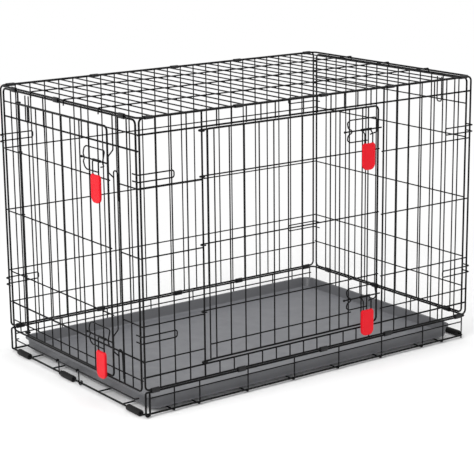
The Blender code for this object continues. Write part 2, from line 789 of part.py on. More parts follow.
def tube_shell(start, end, outer, inner, up, sides):
    """Straight tube with a bore."""
    bm = bmesh.new()
    along = (end - start).normalized()
    side = (up - along * up.dot(along)).normalized()
    other = along.cross(side)
    rings = []
    for place, radius in ((start, outer), (end, outer), (end, inner), (start, inner)):
        ring = []
        for index in range(sides):
            turn = 2 * math.pi * index / sides
            ring.append(bm.verts.new(
                place + side * (radius * math.cos(turn)) + other * (radius * math.sin(turn))
            ))
        rings.append(ring)
    finish_rings(bm, rings, closed=True)
    return to_mesh(bm)


def clip(name, centre, along, apart, finish):
    """Metal sleeve round two neighbouring frame wires."""
    centre = Vector(centre)
    along = Vector(along)
    apart = Vector(apart)
    other = along.cross(apart)
    inner = (FRAME_RADIUS + SEAT_GAP) / math.cos(math.pi / 2 / CLIP_STEPS)
    outer = inner + CLIP_WALL
    bm = bmesh.new()
    rings = []
    half = CLIP_LENGTH / 2
    for shift, radius in ((-half, outer), (half, outer), (half, inner), (-half, inner)):
        ring = []
        for side in (1, -1):
            for step in range(CLIP_STEPS + 1):
                turn = math.pi * step / CLIP_STEPS - math.pi / 2
                across = side * (PAIR_PITCH / 2 + radius * math.cos(turn))
                height = side * radius * math.sin(turn)
                ring.append(bm.verts.new(centre + along * shift + apart * across + other * height))
        rings.append(ring)
    finish_rings(bm, rings, closed=True)
    place_piece(name, to_mesh(bm), finish, centre)


def all_clips(finish):
    """The sleeves along every pair of frame wires."""
    for label, side in (("front", -1), ("back", 1)):
        for number, bay in enumerate(CLIP_BAYS, 1):
            limit = HALF_LENGTH - (FRAME_BEND + LONG_PITCH) / 2
            x = -HALF_LENGTH + bay * LONG_PITCH
            x = max(-limit, min(limit, x))
            high = (x, side * (HALF_WIDTH - PAIR_PITCH / 2), CRATE_HEIGHT)
            low = (x, side * HALF_WIDTH, BASE_WALL_HEIGHT + PAIR_PITCH / 2)
            clip(f"{label}_top_clip_{number}", high, (1, 0, 0), (0, 1, 0), finish)
            clip(f"{label}_base_clip_{number}", low, (1, 0, 0), (0, 0, 1), finish)
    for number, y in enumerate(END_CLIP_PLACES, 1):
        high = (-HALF_LENGTH, y, CRATE_HEIGHT - PAIR_PITCH / 2)
        low = (HALF_LENGTH, y, BASE_WALL_HEIGHT + PAIR_PITCH / 2)
        clip(f"left_end_clip_{number}", high, (0, 1, 0), (0, 0, 1), finish)
        clip(f"right_end_clip_{number}", low, (0, 1, 0), (0, 0, 1), finish)


def base_places():
    """Positions of the cross wires along the crate."""
    return [side * x for x in BASE_CROSS for side in (-1, 1)]


def base_floor(finish):
    """Bottom frame wire, cross wires under it and long wires on them."""
    up = Vector((0, 0, 1))
    ring = Wires()
    corners = []
    for x, y in ((-1, -1), (1, -1), (1, 1), (-1, 1)):
        corners.append((x * HALF_LENGTH, y * BASE_RING_HALF, FOOT_RADIUS))
    ring.path(rounded(corners, FRAME_BEND, 3, closed=True), FRAME_RADIUS, up=up, closed=True)
    crosses = Wires()
    for x in base_places():
        ends = [(x, -BASE_INNER_HALF, BASE_CROSS_Z), (x, BASE_INNER_HALF, BASE_CROSS_Z)]
        crosses.path(ends, up=up)
    longs = Wires()
    for y in [side * y for y in BASE_FLOOR_WIRES for side in (-1, 1)]:
        ends = [(-HALF_LENGTH, y, FLOOR_WIRE_Z), (HALF_LENGTH, y, FLOOR_WIRE_Z)]
        longs.path(ends, FLOOR_RADIUS, up=up)
    mesh = combined(ring.mesh(), [crosses.mesh(), longs.mesh()])
    place_piece("base_floor", mesh, finish)


def base_wall(name, side, finish):
    """Long wall of the base: the turned-up ends of the cross wires, a rail and the rim."""
    out = Vector((0, side, 0))
    y = side * HALF_WIDTH
    end = HALF_LENGTH - FRAME_BEND
    rim = Wires()
    rim.path([(-HALF_LENGTH, y, BASE_WALL_HEIGHT), (end, y, BASE_WALL_HEIGHT)], FRAME_RADIUS, up=out)
    uprights = Wires()
    bottom = BASE_CROSS_Z - MESH_RADIUS
    for x in base_places():
        uprights.path([(x, y, bottom), (x, y, BASE_WALL_HEIGHT)], up=out)
    corners = ((-end, FRAME_RADIUS), (end - MESH_RADIUS - HAIR_GAP, MESH_RADIUS))
    for x, radius in corners:
        uprights.path([(x, y, bottom), (x, y, BASE_WALL_HEIGHT)], radius, up=out)
    rail = Wires()
    inner = y - side * LAYER
    rail.path([(-end, inner, BASE_WALL_RAIL), (end, inner, BASE_WALL_RAIL)], up=out)
    mesh = combined(rim.mesh(), [uprights.mesh(), rail.mesh()])
    place_piece(name, mesh, finish)


def base_end_wall(finish):
    """Low wall under the plain end panel, whose rim turns the corners to the long walls."""
    out = Vector((1, 0, 0))
    rim = Wires()
    near = HALF_LENGTH - FRAME_BEND + SEAT_GAP
    corners = [
        (near, -HALF_WIDTH, BASE_WALL_HEIGHT),
        (HALF_LENGTH, -HALF_WIDTH, BASE_WALL_HEIGHT),
        (HALF_LENGTH, HALF_WIDTH, BASE_WALL_HEIGHT),
        (near, HALF_WIDTH, BASE_WALL_HEIGHT),
    ]
    rim.path(rounded(corners, FRAME_BEND - 2 * SEAT_GAP, 3), FRAME_RADIUS, up=Vector((0, 0, 1)))
    uprights = Wires()
    bottom = FOOT_RADIUS + FRAME_RADIUS + HAIR_GAP
    for y in {side * y for y in BASE_END_UPRIGHTS for side in (-1, 1)}:
        ends = [(HALF_LENGTH, y, bottom), (HALF_LENGTH, y, BASE_WALL_HEIGHT)]
        uprights.path(ends, up=out)
    place_piece("base_end_wall", combined(rim.mesh(), [uprights.mesh()]), finish)


def feet(finish):
    """Rubber sleeves on the bottom end wires."""
    for label, side in (("left", -1), ("right", 1)):
        for number, y in enumerate(FOOT_PLACES, 1):
            start = Vector((side * HALF_LENGTH, y - FOOT_LENGTH / 2, FOOT_RADIUS))
            end = start + Vector((0, FOOT_LENGTH, 0))
            bore = FRAME_RADIUS + SEAT_GAP
            mesh = tube_shell(start, end, FOOT_RADIUS, bore, Vector((0, 0, 1)), FOOT_SIDES)
            place_piece(f"{label}_foot_{number}", mesh, finish, (start + end) / 2)


def pan(finish):
    """Shallow tray with tapered walls and a turned-out rim."""
    bm = bmesh.new()
    centre = -HALF_LENGTH + PAN_SETBACK + PAN_LENGTH / 2
    width = 2 * (BASE_RING_HALF - FRAME_RADIUS - PAN_SIDE_GAP)
    top = PAN_BOTTOM + PAN_HEIGHT
    levels = [
        (PAN_LIP + PAN_TAPER, PAN_BOTTOM),
        (PAN_LIP + PAN_WALL, top - PAN_WALL),
        (0.0, top - PAN_WALL),
        (0.0, top),
        (PAN_LIP + 2 * PAN_WALL, top),
        (PAN_LIP + PAN_TAPER + PAN_WALL, PAN_BOTTOM + PAN_WALL),
    ]
    rings = []
    for inset, z in levels:
        ring = []
        corner = PAN_CORNER - inset
        outline = rounded_box(PAN_LENGTH - 2 * inset, width - 2 * inset, corner, PAN_CORNER_STEPS)
        for dx, dy in outline:
            ring.append(bm.verts.new((centre + dx, dy, z)))
        rings.append(ring)
    finish_rings(bm, rings)
    place_piece("floor_pan", to_mesh(bm), finish, (centre, 0, PAN_BOTTOM))


def pan_stop(finish):
    """Bar outside the open end on two legs with eyes round the bottom end wire."""
    bar = Wires()
    up = Vector((0, 0, 1))
    x = -HALF_LENGTH - STOP_BAR_REACH
    points = [
        (x + STOP_END_BEND, -STOP_BAR_HALF, STOP_BAR_HEIGHT),
        (x, -STOP_BAR_HALF, STOP_BAR_HEIGHT),
        (x, STOP_BAR_HALF, STOP_BAR_HEIGHT),
        (x + STOP_END_BEND, STOP_BAR_HALF, STOP_BAR_HEIGHT),
    ]
    bar.path(rounded(points, 2 * MESH_RADIUS, 2), MESH_RADIUS, MESH_SIDES, up)
    legs = Wires()
    reach = FRAME_RADIUS + SEAT_GAP + MESH_RADIUS
    for y in STOP_LEGS:
        leg = [Vector((x, -y, STOP_BAR_HEIGHT))]
        for degrees in range(0, -271, -45):
            turn = math.radians(degrees)
            place = Vector((-HALF_LENGTH - reach * math.cos(turn), -y, FOOT_RADIUS + reach * math.sin(turn)))
            leg.append(place)
        legs.path(leg, MESH_RADIUS, MESH_SIDES, Vector((0, 1, 0)))
    mesh = combined(bar.mesh(), [legs.mesh()])
    place_piece("pan_stop", mesh, finish, (-HALF_LENGTH, 0, FOOT_RADIUS))


def front_door():
    """The large door in the front panel."""
    left = FRONT_HINGE_U + FRONT_DOOR_HINGE_GAP
    right = FRONT_LATCH_U - FRONT_DOOR_LATCH_GAP
    latch_wires = [right - back for back in FRONT_DOOR_LATCH_WIRES]
    uprights = [left]
    place = left + FRONT_DOOR_FIRST_WIRE
    while place < latch_wires[0] - FRONT_DOOR_PITCH / 2:
        uprights.append(place)
        place += FRONT_DOOR_PITCH
    return Door(
        name="front_door",
        face=FRONT,
        hinge=FRONT_HINGE_U,
        left=left,
        right=right,
        bottom=FRONT_OPENING_BOTTOM + FRONT_DOOR_BOTTOM_GAP,
        top=FRONT_OPENING_TOP - FRONT_DOOR_TOP_GAP,
        plane=FRONT_DOOR_W,
        rail_w=FRONT_RAIL_W,
        rails=with_middle(CRATE_HEIGHT - FRONT_DOOR_RAIL_DROP, PANEL_BOTTOM + FRONT_DOOR_RAIL_RISE),
        uprights=uprights + latch_wires,
        tip=FRONT_BOLT_TIP_U,
        bolts=(CRATE_HEIGHT - FRONT_BOLT_DROP, PANEL_BOTTOM + FRONT_BOLT_RISE),
        grip_w=MESH_RADIUS + SEAT_GAP + GRIP_THICKNESS / 2,
    )


def end_door():
    """The door on the left end, which lies outside its opening."""
    left = END_HINGE_U + END_DOOR_HINGE_GAP
    right = END_LATCH_U - END_DOOR_LATCH_GAP
    count = round((right - left) / END_DOOR_PITCH)
    return Door(
        name="end_door",
        face=LEFT,
        hinge=END_HINGE_U,
        left=left,
        right=right,
        bottom=END_PANEL_BOTTOM + END_DOOR_RISE,
        top=END_TOP - END_DOOR_DROP,
        plane=END_DOOR_W,
        rail_w=END_RAIL_W,
        rails=with_middle(END_TOP - END_DOOR_RAIL_DROP, END_PANEL_BOTTOM + END_DOOR_RAIL_RISE),
        uprights=[left + (right - left) * k / count for k in range(count)],
        tip=END_BOLT_TIP_U,
        bolts=(END_TOP - END_BOLT_DROP, END_PANEL_BOTTOM + END_BOLT_RISE),
        grip_w=END_DOOR_W + LAYER + MESH_RADIUS + SEAT_GAP + GRIP_THICKNESS / 2,
    )


def stand_on_origin():
    """Move every piece so that the origin is under the middle of the whole crate."""
    low = Vector((math.inf, math.inf, math.inf))
    high = -low
    for item in bpy.data.objects:
        for vertex in item.data.vertices:
            place = item.location + vertex.co
            low = Vector(map(min, low, place))
            high = Vector(map(max, high, place))
    shift = Vector(((low.x + high.x) / 2, (low.y + high.y) / 2, low.z))
    for item in bpy.data.objects:
        item.location -= shift


def main():
    """Build every piece of the crate."""
    clear_scene()
    wire = material("black_coated_wire", (0.012, 0.012, 0.013), 0.32, 0.0)
    zinc = material("black_clip_steel", (0.02, 0.02, 0.022), 0.4, 0.6)
    red = material("red_plastic", (0.78, 0.012, 0.02), 0.35, 0.0)
    grey = material("dark_grey_plastic", (0.06, 0.063, 0.07), 0.5, 0.0)
    rubber = material("black_rubber", (0.015, 0.015, 0.015), 0.8, 0.0)
    base_floor(wire)
    base_wall("base_front_wall", -1, wire)
    base_wall("base_back_wall", 1, wire)
    base_end_wall(wire)
    front_panel(wire)
    back_panel(wire)
    top_panel(wire)
    left_end(wire)
    receiver(wire)
    right_end(wire)
    all_clips(zinc)
    feet(rubber)
    pan(grey)
    pan_stop(wire)
    for label, door in (("front", front_door()), ("end", end_door())):
        door.make_door(wire)
        for place, v in zip(("upper", "lower"), door.bolts):
            door.make_bolt(f"{label}_{place}_bolt", v, wire)
            door.make_lever(f"{label}_{place}_lever", v, wire)
            door.make_grip(f"{label}_{place}_grip", v, red)
    stand_on_origin()


main()
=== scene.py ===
"""Looks of the folding wire dog crate: round wires, spot welds, moulded parts and finishes.

Metres, +Z up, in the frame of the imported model.
"""

import logging
import math
from dataclasses import dataclass, field
from enum import Enum
from itertools import product
from typing import Callable, Iterable, Sequence

import bpy
from bpy.types import Material, Node, NodeSocket, NodeTree, Object
from mathutils import Matrix, Vector

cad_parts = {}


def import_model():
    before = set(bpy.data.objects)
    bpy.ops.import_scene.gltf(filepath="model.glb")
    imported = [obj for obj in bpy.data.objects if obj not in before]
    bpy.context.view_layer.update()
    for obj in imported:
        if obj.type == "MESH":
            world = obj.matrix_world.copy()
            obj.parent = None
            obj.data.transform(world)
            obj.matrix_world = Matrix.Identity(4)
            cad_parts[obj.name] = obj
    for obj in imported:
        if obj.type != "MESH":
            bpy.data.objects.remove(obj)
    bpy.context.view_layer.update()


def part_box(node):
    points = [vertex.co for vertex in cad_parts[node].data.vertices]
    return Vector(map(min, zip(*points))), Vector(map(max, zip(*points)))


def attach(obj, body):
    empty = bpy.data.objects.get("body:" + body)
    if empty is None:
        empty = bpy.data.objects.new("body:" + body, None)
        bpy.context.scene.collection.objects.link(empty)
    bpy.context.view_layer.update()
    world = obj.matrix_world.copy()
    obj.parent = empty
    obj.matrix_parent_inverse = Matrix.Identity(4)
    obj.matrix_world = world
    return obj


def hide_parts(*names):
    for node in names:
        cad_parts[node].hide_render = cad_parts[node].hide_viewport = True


LOG = logging.getLogger("dog_crate")
X_DIR, Y_DIR, Z_DIR = (Vector(row) for row in Matrix.Identity(3))
BOTH = (-1, 1)
BEND_STEPS = 6
END_LEG = 0.98
INNER_LEG = 0.49
WIRE_DETAIL = 3
EDGE_STEPS = 3
ROD_SIDES = 16
TUBE_SIDES = 24
TUBE_EDGE = 0.3
WIRE_CREASE = 60
TURNED_CREASE = 50
MOULDED_CREASE = 40
FACING = 0.9
NUGGET = (0.0021, 0.0021, 0.0017)
WHITE = (1.0, 1.0, 1.0)
BLACK = (0.0, 0.0, 0.0)
DUST = (0.3, 0.3, 0.3)


class Slot(Enum):
    """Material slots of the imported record."""

    WIRE = "coated_wire"
    CLIP = "clip_steel"
    GRIP = "red_grip"
    PAN = "pan_plastic"
    FOOT = "rubber_feet"


@dataclass(frozen=True)
class Gauge:
    """Wire radii, the clearances between wires, the frames' bend and the distances between axes.

    A layer is two crossing mesh wires, a pair two neighbouring frame wires.
    """

    mesh: float = 0.0015
    frame: float = 0.0022
    opening: float = 0.0020
    floor: float = 0.0018
    bolt: float = 0.0017
    hair: float = 0.0002
    seat: float = 0.0003
    run: float = 0.0005
    weld: float = 0.0002
    frame_bend: float = 0.010
    layer: float = 2 * mesh + hair
    pair: float = 2 * frame + run


GAUGE = Gauge()


@dataclass(frozen=True)
class Crate:
    """Overall sizes between the wire centres of the frames."""

    half_length: float = 0.457
    half_width: float = 0.292
    height: float = 0.635
    wall: float = 0.057
    end_half: float = 0.2784
    bays: int = 24
    pitch: float = 2 * half_length / bays
    panel_bottom: float = wall + GAUGE.pair
    end_top: float = height - GAUGE.pair

    def upright(self, bay: float) -> float:
        """Place along a long panel of the upright after so many bays."""
        return -self.half_length + bay * self.pitch


CRATE = Crate()
UPRIGHTS = [CRATE.upright(bay) for bay in range(1, CRATE.bays)]


@dataclass(frozen=True)
class Face:
    """A side's own directions: u across, v up and w out of the crate."""

    origin: Vector
    u: Vector
    v: Vector

    @property
    def w(self) -> Vector:
        """Outward direction."""
        return self.u.cross(self.v)

    def at(self, u: float, v: float, w: float = 0.0) -> Vector:
        """World point of a place on the face."""
        return self.origin + self.u * u + self.v * v + self.w * w

    def lay(self, places: Iterable[tuple]) -> list[Vector]:
        """World points of places on the face."""
        return [self.at(*place) for place in places]


class Side(Enum):
    """Sides of the crate: offset of the face's origin, u and v."""

    FRONT = ((0, -CRATE.half_width, 0), (1, 0, 0), (0, 0, 1))
    BACK = ((0, CRATE.half_width, 0), (-1, 0, 0), (0, 0, 1))
    LEFT = ((-CRATE.half_length, 0, 0), (0, -1, 0), (0, 0, 1))
    RIGHT = ((CRATE.half_length, 0, 0), (0, 1, 0), (0, 0, 1))
    TOP = ((0, 0, CRATE.height), (1, 0, 0), (0, 1, 0))
    GROUND = ((0, 0, 0), (1, 0, 0), (0, 1, 0))

    def face(self, centre: Vector) -> Face:
        """Face of this side of a crate that stands at a centre."""
        offset, u, v = map(Vector, self.value)
        return Face(centre + offset, u, v)


def select_only(*items: Object) -> None:
    """Select these objects alone and make the first one active.

    Args:
        items: Objects to select.
    """
    bpy.ops.object.select_all(action="DESELECT")
    for item in items:
        item.select_set(True)
    bpy.context.view_layer.objects.active = items[0]


def primitive(add: Callable, **options: object) -> Object:
    """Add a primitive with nothing else selected.

    Args:
        add: The primitive's operator.
        options: Its settings.

    Returns:
        The new object.
    """
    bpy.ops.object.select_all(action="DESELECT")
    add(**options)
    return bpy.context.object


def joined(items: Sequence[Object]) -> Object:
    """Join mesh objects into the first one.

    Args:
        items: Mesh objects.

    Returns:
        The object that holds them all.
    """
    select_only(*items)
    if len(items) > 1:
        bpy.ops.object.join()
    return items[0]


def settle(item: Object) -> None:
    """Put an object's place, turn and size into its mesh."""
    select_only(item)
    bpy.ops.object.transform_apply(location=True, rotation=True, scale=True)


def smooth(item: Object, crease: float) -> None:
    """Shade an object smooth, apart from edges sharper than so many degrees."""
    select_only(item)
    bpy.ops.object.shade_smooth_by_angle(angle=math.radians(crease))


def face_outwards() -> None:
    """Turn every face of the active object outwards."""
    bpy.ops.object.mode_set(mode="EDIT")
    bpy.ops.mesh.select_all(action="SELECT")
    bpy.ops.mesh.normals_make_consistent(inside=False)
    bpy.ops.object.mode_set(mode="OBJECT")


def extrude_up(height: float) -> None:
    """Extrude the selected faces of the active object.

    Args:
        height: Distance along Z.
    """
    bpy.ops.object.mode_set(mode="EDIT")
    bpy.ops.mesh.extrude_region_move(TRANSFORM_OT_translate={"value": (0.0, 0.0, height)})
    bpy.ops.object.mode_set(mode="OBJECT")


def round_edges(item: Object, width: float) -> None:
    """Round the sharp edges of a piece.

    Args:
        item: The piece.
        width: Width of the rounding.
    """
    select_only(item)
    edge = item.modifiers.new("edge", "BEVEL")
    edge.width = width
    edge.segments = EDGE_STEPS
    edge.limit_method = "ANGLE"
    edge.angle_limit = math.radians(MOULDED_CREASE)
    bpy.ops.object.modifier_apply(modifier=edge.name)


def thicken(item: Object, wall: float) -> None:
    """Give a thin shell its wall, half to each side.

    Args:
        item: The shell.
        wall: Thickness of the wall.
    """
    sheet = item.modifiers.new("wall", "SOLIDIFY")
    sheet.thickness = wall
    sheet.offset = 0.0
    bpy.ops.object.modifier_apply(modifier=sheet.name)


def placement(centre: Vector, x: Vector, y: Vector) -> Matrix:
    """Matrix that lays a pattern's X and Y along two directions at a place."""
    return Matrix.Translation(centre) @ Matrix((x, y, x.cross(y))).transposed().to_4x4()


def copied(pattern: Object, name: str, place: Matrix) -> Object:
    """Copy a pattern piece, with a mesh of its own.

    Args:
        pattern: The modelled piece.
        name: Name of the copy.
        place: Where it goes.

    Returns:
        The copy.
    """
    mesh = pattern.data.copy()
    mesh.transform(place)
    copy = bpy.data.objects.new(name, mesh)
    bpy.context.collection.objects.link(copy)
    return copy


def turned(start: Vector, end: Vector, outer: float, edge: float, bore: float = 0.0) -> Object:
    """Turn a rod, or a tube where it has a bore, with rounded ends.

    Args:
        start: Middle of one end.
        end: Middle of the other.
        outer: Outer radius.
        edge: Width of the rounding, as a share of the radius or wall.
        bore: Radius of the bore.

    Returns:
        The piece, with its place in its mesh.
    """
    along = end - start
    sizes = {"vertices": ROD_SIDES, "radius": outer, "depth": along.length}
    if bore:
        sizes |= {"vertices": TUBE_SIDES, "radius": (outer + bore) / 2, "end_fill_type": "NOTHING"}
    item = primitive(bpy.ops.mesh.primitive_cylinder_add, location=(start + end) / 2, **sizes)
    item.rotation_mode = "QUATERNION"
    item.rotation_quaternion = along.to_track_quat("Z", "Y")
    settle(item)
    if bore:
        thicken(item, outer - bore)
    round_edges(item, (outer - bore) * edge)
    smooth(item, TURNED_CREASE)
    return item


def round_rectangle(
    half_x: float, half_y: float, corners: Sequence[float], steps: int
) -> list[tuple]:
    """Outline of a rectangle with round corners, anticlockwise from +X.

    Args:
        half_x: Half its length.
        half_y: Half its width.
        corners: Radius of each corner in turn.
        steps: Straight pieces in each corner.

    Returns:
        Points as (x, y).
    """
    points = []
    for quarter, (side, up) in enumerate(((1, 1), (-1, 1), (-1, -1), (1, -1))):
        corner = corners[quarter]
        for step in range(steps + 1):
            turn = math.pi / 2 * (quarter + step / steps)
            x = side * (half_x - corner) + corner * math.cos(turn)
            y = up * (half_y - corner) + corner * math.sin(turn)
            points.append((x, y))
    return points


def rounded(
    points: Sequence[Vector], radius: float, steps: int = BEND_STEPS, closed: bool = False
) -> list[Vector]:
    """Round the corners of a path.

    Args:
        points: Corners of the path.
        radius: Radius of each bend.
        steps: Straight pieces in each bend.
        closed: Whether the last point runs on to the first.

    Returns:
        Points of the path with its arcs.
    """
    last = len(points) - 1
    path: list[Vector] = []
    for index, corner in enumerate(points):
        if not closed and index in (0, last):
            path.append(corner)
            continue
        back = points[index - 1] - corner
        ahead = points[(index + 1) % len(points)] - corner
        half_angle = back.angle(ahead) / 2
        back_share = END_LEG if not closed and index == 1 else INNER_LEG
        ahead_share = END_LEG if not closed and index == last - 1 else INNER_LEG
        room = min(back_share * back.length, ahead_share * ahead.length)
        trim = min(radius / math.tan(half_angle), room)
        bend = trim * math.tan(half_angle)
        back.normalize()
        ahead.normalize()
        centre = corner + (back + ahead).normalized() * (bend / math.sin(half_angle))
        start = (corner + back * trim - centre).normalized()
        finish = (corner + ahead * trim - centre).normalized()
        for step in range(steps + 1):
            path.append(centre + start.slerp(finish, step / steps, start) * bend)
    return path


def feed(node: Node, inputs: dict) -> None:
    """Fill a node's inputs with values or link them to other nodes' outputs.

    Args:
        node: The node.
        inputs: Values and output sockets, by the inputs' names or numbers.
    """
    for label, source in inputs.items():
        if isinstance(source, NodeSocket):
            node.id_data.links.new(source, node.inputs[label])
        elif node.inputs[label].type == "RGBA":
            node.inputs[label].default_value = (*source, 1.0)
        else:
            node.inputs[label].default_value = source


def add_node(
    tree: NodeTree, kind: str, inputs: dict, result: int | str = 0, **settings: object
) -> NodeSocket:
    """Add a shader node and fill its inputs.

    Args:
        tree: Where it goes.
        kind: Its type, without ShaderNode.
        inputs: Values and output sockets for its inputs.
        result: Name or number of the output that is wanted.
        settings: Its other settings.

    Returns:
        The wanted output.
    """
    node = tree.nodes.new(f"ShaderNode{kind}")
    for label, value in settings.items():
        setattr(node, label, value)
    feed(node, inputs)
    return node.outputs[result]


class SurfaceGroups:
    """Shader node groups that several finishes share."""

    def __init__(self) -> None:
        """Build the groups."""
        self.skin = self.build_skin()
        self.tint = self.build_tint()

    @staticmethod
    def new_group(
        name: str, inputs: dict, outputs: dict
    ) -> tuple:
        """Start a node group.

        Args:
            name: Name of the group.
            inputs: Values of its inputs, by name.
            outputs: Socket types of its outputs, by name.

        Returns:
            The tree, what it is given and the node that takes what it makes.
        """
        tree = bpy.data.node_groups.new(name, "ShaderNodeTree")
        for label, value in inputs.items():
            single = isinstance(value, float)
            kind = "NodeSocketFloat" if single else "NodeSocketColor"
            socket = tree.interface.new_socket(name=label, in_out="INPUT", socket_type=kind)
            socket.default_value = value if single else (*value, 1.0)
        for label, kind in outputs.items():
            tree.interface.new_socket(name=label, in_out="OUTPUT", socket_type=kind)
        given = tree.nodes.new("NodeGroupInput").outputs
        return tree, given, tree.nodes.new("NodeGroupOutput")

    def build_skin(self) -> NodeTree:
        """Group for the small relief and uneven gloss of a coat or a moulding.

        Returns:
            The node group.
        """
        inputs = {"Scale": 900.0, "Relief": 0.1, "Depth": 0.0001}
        inputs |= {"Low Gloss": 0.3, "High Gloss": 0.45}
        outputs = {"Normal": "NodeSocketVector", "Roughness": "NodeSocketFloat"}
        tree, given, made = self.new_group("surface_skin", inputs, outputs)
        place = add_node(tree, "TexCoord", {}, "Object")
        fine = {"Vector": place, "Scale": given["Scale"], "Detail": 3.0}
        relief = {"Strength": given["Relief"], "Distance": given["Depth"]}
        relief["Height"] = add_node(tree, "TexNoise", fine, "Fac")
        broad = {"Vector": place, "Scale": 26.0, "Detail": 4.0}
        gloss = {"Value": add_node(tree, "TexNoise", broad, "Fac"), "From Min": 0.3, "From Max": 0.7}
        gloss |= {"To Min": given["Low Gloss"], "To Max": given["High Gloss"]}
        normal = add_node(tree, "Bump", relief)
        feed(made, {"Normal": normal, "Roughness": add_node(tree, "MapRange", gloss)})
        return tree

    def build_tint(self) -> NodeTree:
        """Group that drifts between two near colours over the surface, with fine dust.

        Returns:
            The node group.
        """
        inputs = {"Scale": 18.0, "Dust Amount": 0.1, "First": BLACK, "Second": BLACK}
        inputs["Dust"] = DUST
        tree, given, made = self.new_group("surface_tint", inputs, {"Color": "NodeSocketColor"})
        place = add_node(tree, "TexCoord", {}, "Object")
        drift = {"Vector": place, "Scale": given["Scale"], "Detail": 5.0}
        base = {"Fac": add_node(tree, "TexNoise", drift, "Fac")}
        base |= {"Color1": given["First"], "Color2": given["Second"]}
        specks = {"Vector": place, "Scale": 420.0, "Detail": 2.0}
        pick = {"Value": add_node(tree, "TexNoise", specks, "Fac"), "From Min": 0.62, "From Max": 0.8}
        share = {0: add_node(tree, "MapRange", pick), 1: given["Dust Amount"]}
        dusted = {"Fac": add_node(tree, "Math", share, operation="MULTIPLY")}
        dusted |= {"Color1": add_node(tree, "MixRGB", base), "Color2": given["Dust"]}
        feed(made, {"Color": add_node(tree, "MixRGB", dusted)})
        return tree


@dataclass(frozen=True)
class Finish:
    """One finish: its colours, gloss and surface relief, and painted light: a paler colour below a set
    height, for a floor that catches more light.
    """

    name: str
    first: tuple
    second: tuple
    low_gloss: float
    high_gloss: float
    specular: float
    grain: float
    relief: float
    depth: float
    dust_amount: float
    dust: tuple = DUST
    drift: float = 18.0
    metallic: float = 0.0
    # Painted light: a paler colour below a height band, standing in for the stronger light on an
    # upward-facing floor.
    painted_floor_light: tuple = ()
    painted_light_low: float = 0.012
    painted_light_high: float = 0.0145

    def build(self, groups: SurfaceGroups) -> Material:
        """Make the material.

        Args:
            groups: The shared node groups.

        Returns:
            The material.
        """
        made = bpy.data.materials.new(self.name)
        made.use_nodes = True
        tree = made.node_tree
        skin = {"Scale": self.grain, "Relief": self.relief, "Depth": self.depth}
        skin |= {"Low Gloss": self.low_gloss, "High Gloss": self.high_gloss}
        normal = add_node(tree, "Group", skin, node_tree=groups.skin)
        tint = {"Scale": self.drift, "Dust Amount": self.dust_amount}
        tint |= {"First": self.first, "Second": self.second, "Dust": self.dust}
        colour = add_node(tree, "Group", tint, node_tree=groups.tint)
        # Painted light: below the height band the colour fades to a paler one, as if the tray's floor
        # were lit more strongly than its walls.
        if self.painted_floor_light:
            place = add_node(tree, "TexCoord", {}, "Object")
            low = {"Value": add_node(tree, "SeparateXYZ", {"Vector": place}, "Z")}
            low |= {"From Min": self.painted_light_low, "From Max": self.painted_light_high}
            share = add_node(tree, "MapRange", low | {"To Min": 1.0, "To Max": 0.0})
            mix = {"Fac": share, "Color1": colour, "Color2": self.painted_floor_light}
            colour = add_node(tree, "MixRGB", mix)
        surface = {"Base Color": colour, "Metallic": self.metallic, "Normal": normal}
        surface |= {"Roughness": normal.node.outputs["Roughness"]}
        feed(tree.nodes["Principled BSDF"], surface | {"Specular IOR Level": self.specular})
        return made


FINISHES = {
    Slot.WIRE: Finish(
        "black_coated_wire", (0.0020, 0.0020, 0.0024), (0.0042, 0.0042, 0.0046),
        low_gloss=0.30, high_gloss=0.46, specular=0.12,
        grain=1400.0, relief=0.25, depth=0.00006, dust_amount=0.015,
    ),
    Slot.CLIP: Finish(
        "black_clip_steel", (0.006, 0.006, 0.007), (0.012, 0.012, 0.013),
        low_gloss=0.34, high_gloss=0.5, specular=0.35, metallic=0.2,
        grain=1100.0, relief=0.3, depth=0.00008, dust_amount=0.03,
    ),
    Slot.GRIP: Finish(
        "red_moulded_plastic", (0.70, 0.004, 0.014), (0.77, 0.009, 0.020), drift=60.0,
        low_gloss=0.3, high_gloss=0.42, specular=0.16,
        grain=1600.0, relief=0.12, depth=0.00005, dust_amount=0.02, dust=(0.8, 0.3, 0.3),
    ),
    Slot.PAN: Finish(
        "grey_moulded_plastic", (0.100, 0.102, 0.110), (0.122, 0.124, 0.133), drift=9.0,
        # The paler colour is painted light on the tray's floor.
        low_gloss=0.34, high_gloss=0.5, specular=0.5, painted_floor_light=(0.175, 0.178, 0.192),
        grain=1200.0, relief=0.5, depth=0.00012, dust_amount=0.08, dust=(0.34, 0.34, 0.35),
    ),
    Slot.FOOT: Finish(
        "black_rubber", (0.006, 0.006, 0.006), (0.012, 0.012, 0.012),
        low_gloss=0.6, high_gloss=0.8, specular=0.25,
        grain=1500.0, relief=0.4, depth=0.0001, dust_amount=0.06,
    ),
}


class Bench:
    """Holds the crate's sides, finishes and weld pattern, and hands over finished pieces."""

    def __init__(self, centre: Vector) -> None:
        """Set up the bench.

        Args:
            centre: Middle of the crate, on the floor.
        """
        groups = SurfaceGroups()
        self.materials = {slot: finish.build(groups) for slot, finish in FINISHES.items()}
        self.centre = centre
        self.faces = {side: side.face(centre) for side in Side}
        nugget = bpy.ops.mesh.primitive_uv_sphere_add
        self.weld = primitive(nugget, segments=8, ring_count=5, radius=1.0)
        self.weld.scale = NUGGET
        settle(self.weld)

    def deliver(
        self, item: Object, name: str, body: str, slot: Slot, nodes: Sequence[str]
    ) -> None:
        """Hand a finished piece to the frame.

        Args:
            item: The piece.
            name: Its name.
            body: Body that it moves with.
            slot: Its finish.
            nodes: CAD nodes that it stands for.
        """
        settle(item)
        item.name = name
        item.data.name = name
        item.data.materials.clear()
        item.data.materials.append(self.materials[slot])
        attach(item, body)
        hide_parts(*nodes)
        LOG.info("%s: %d faces, on %s", name, len(item.data.polygons), body)


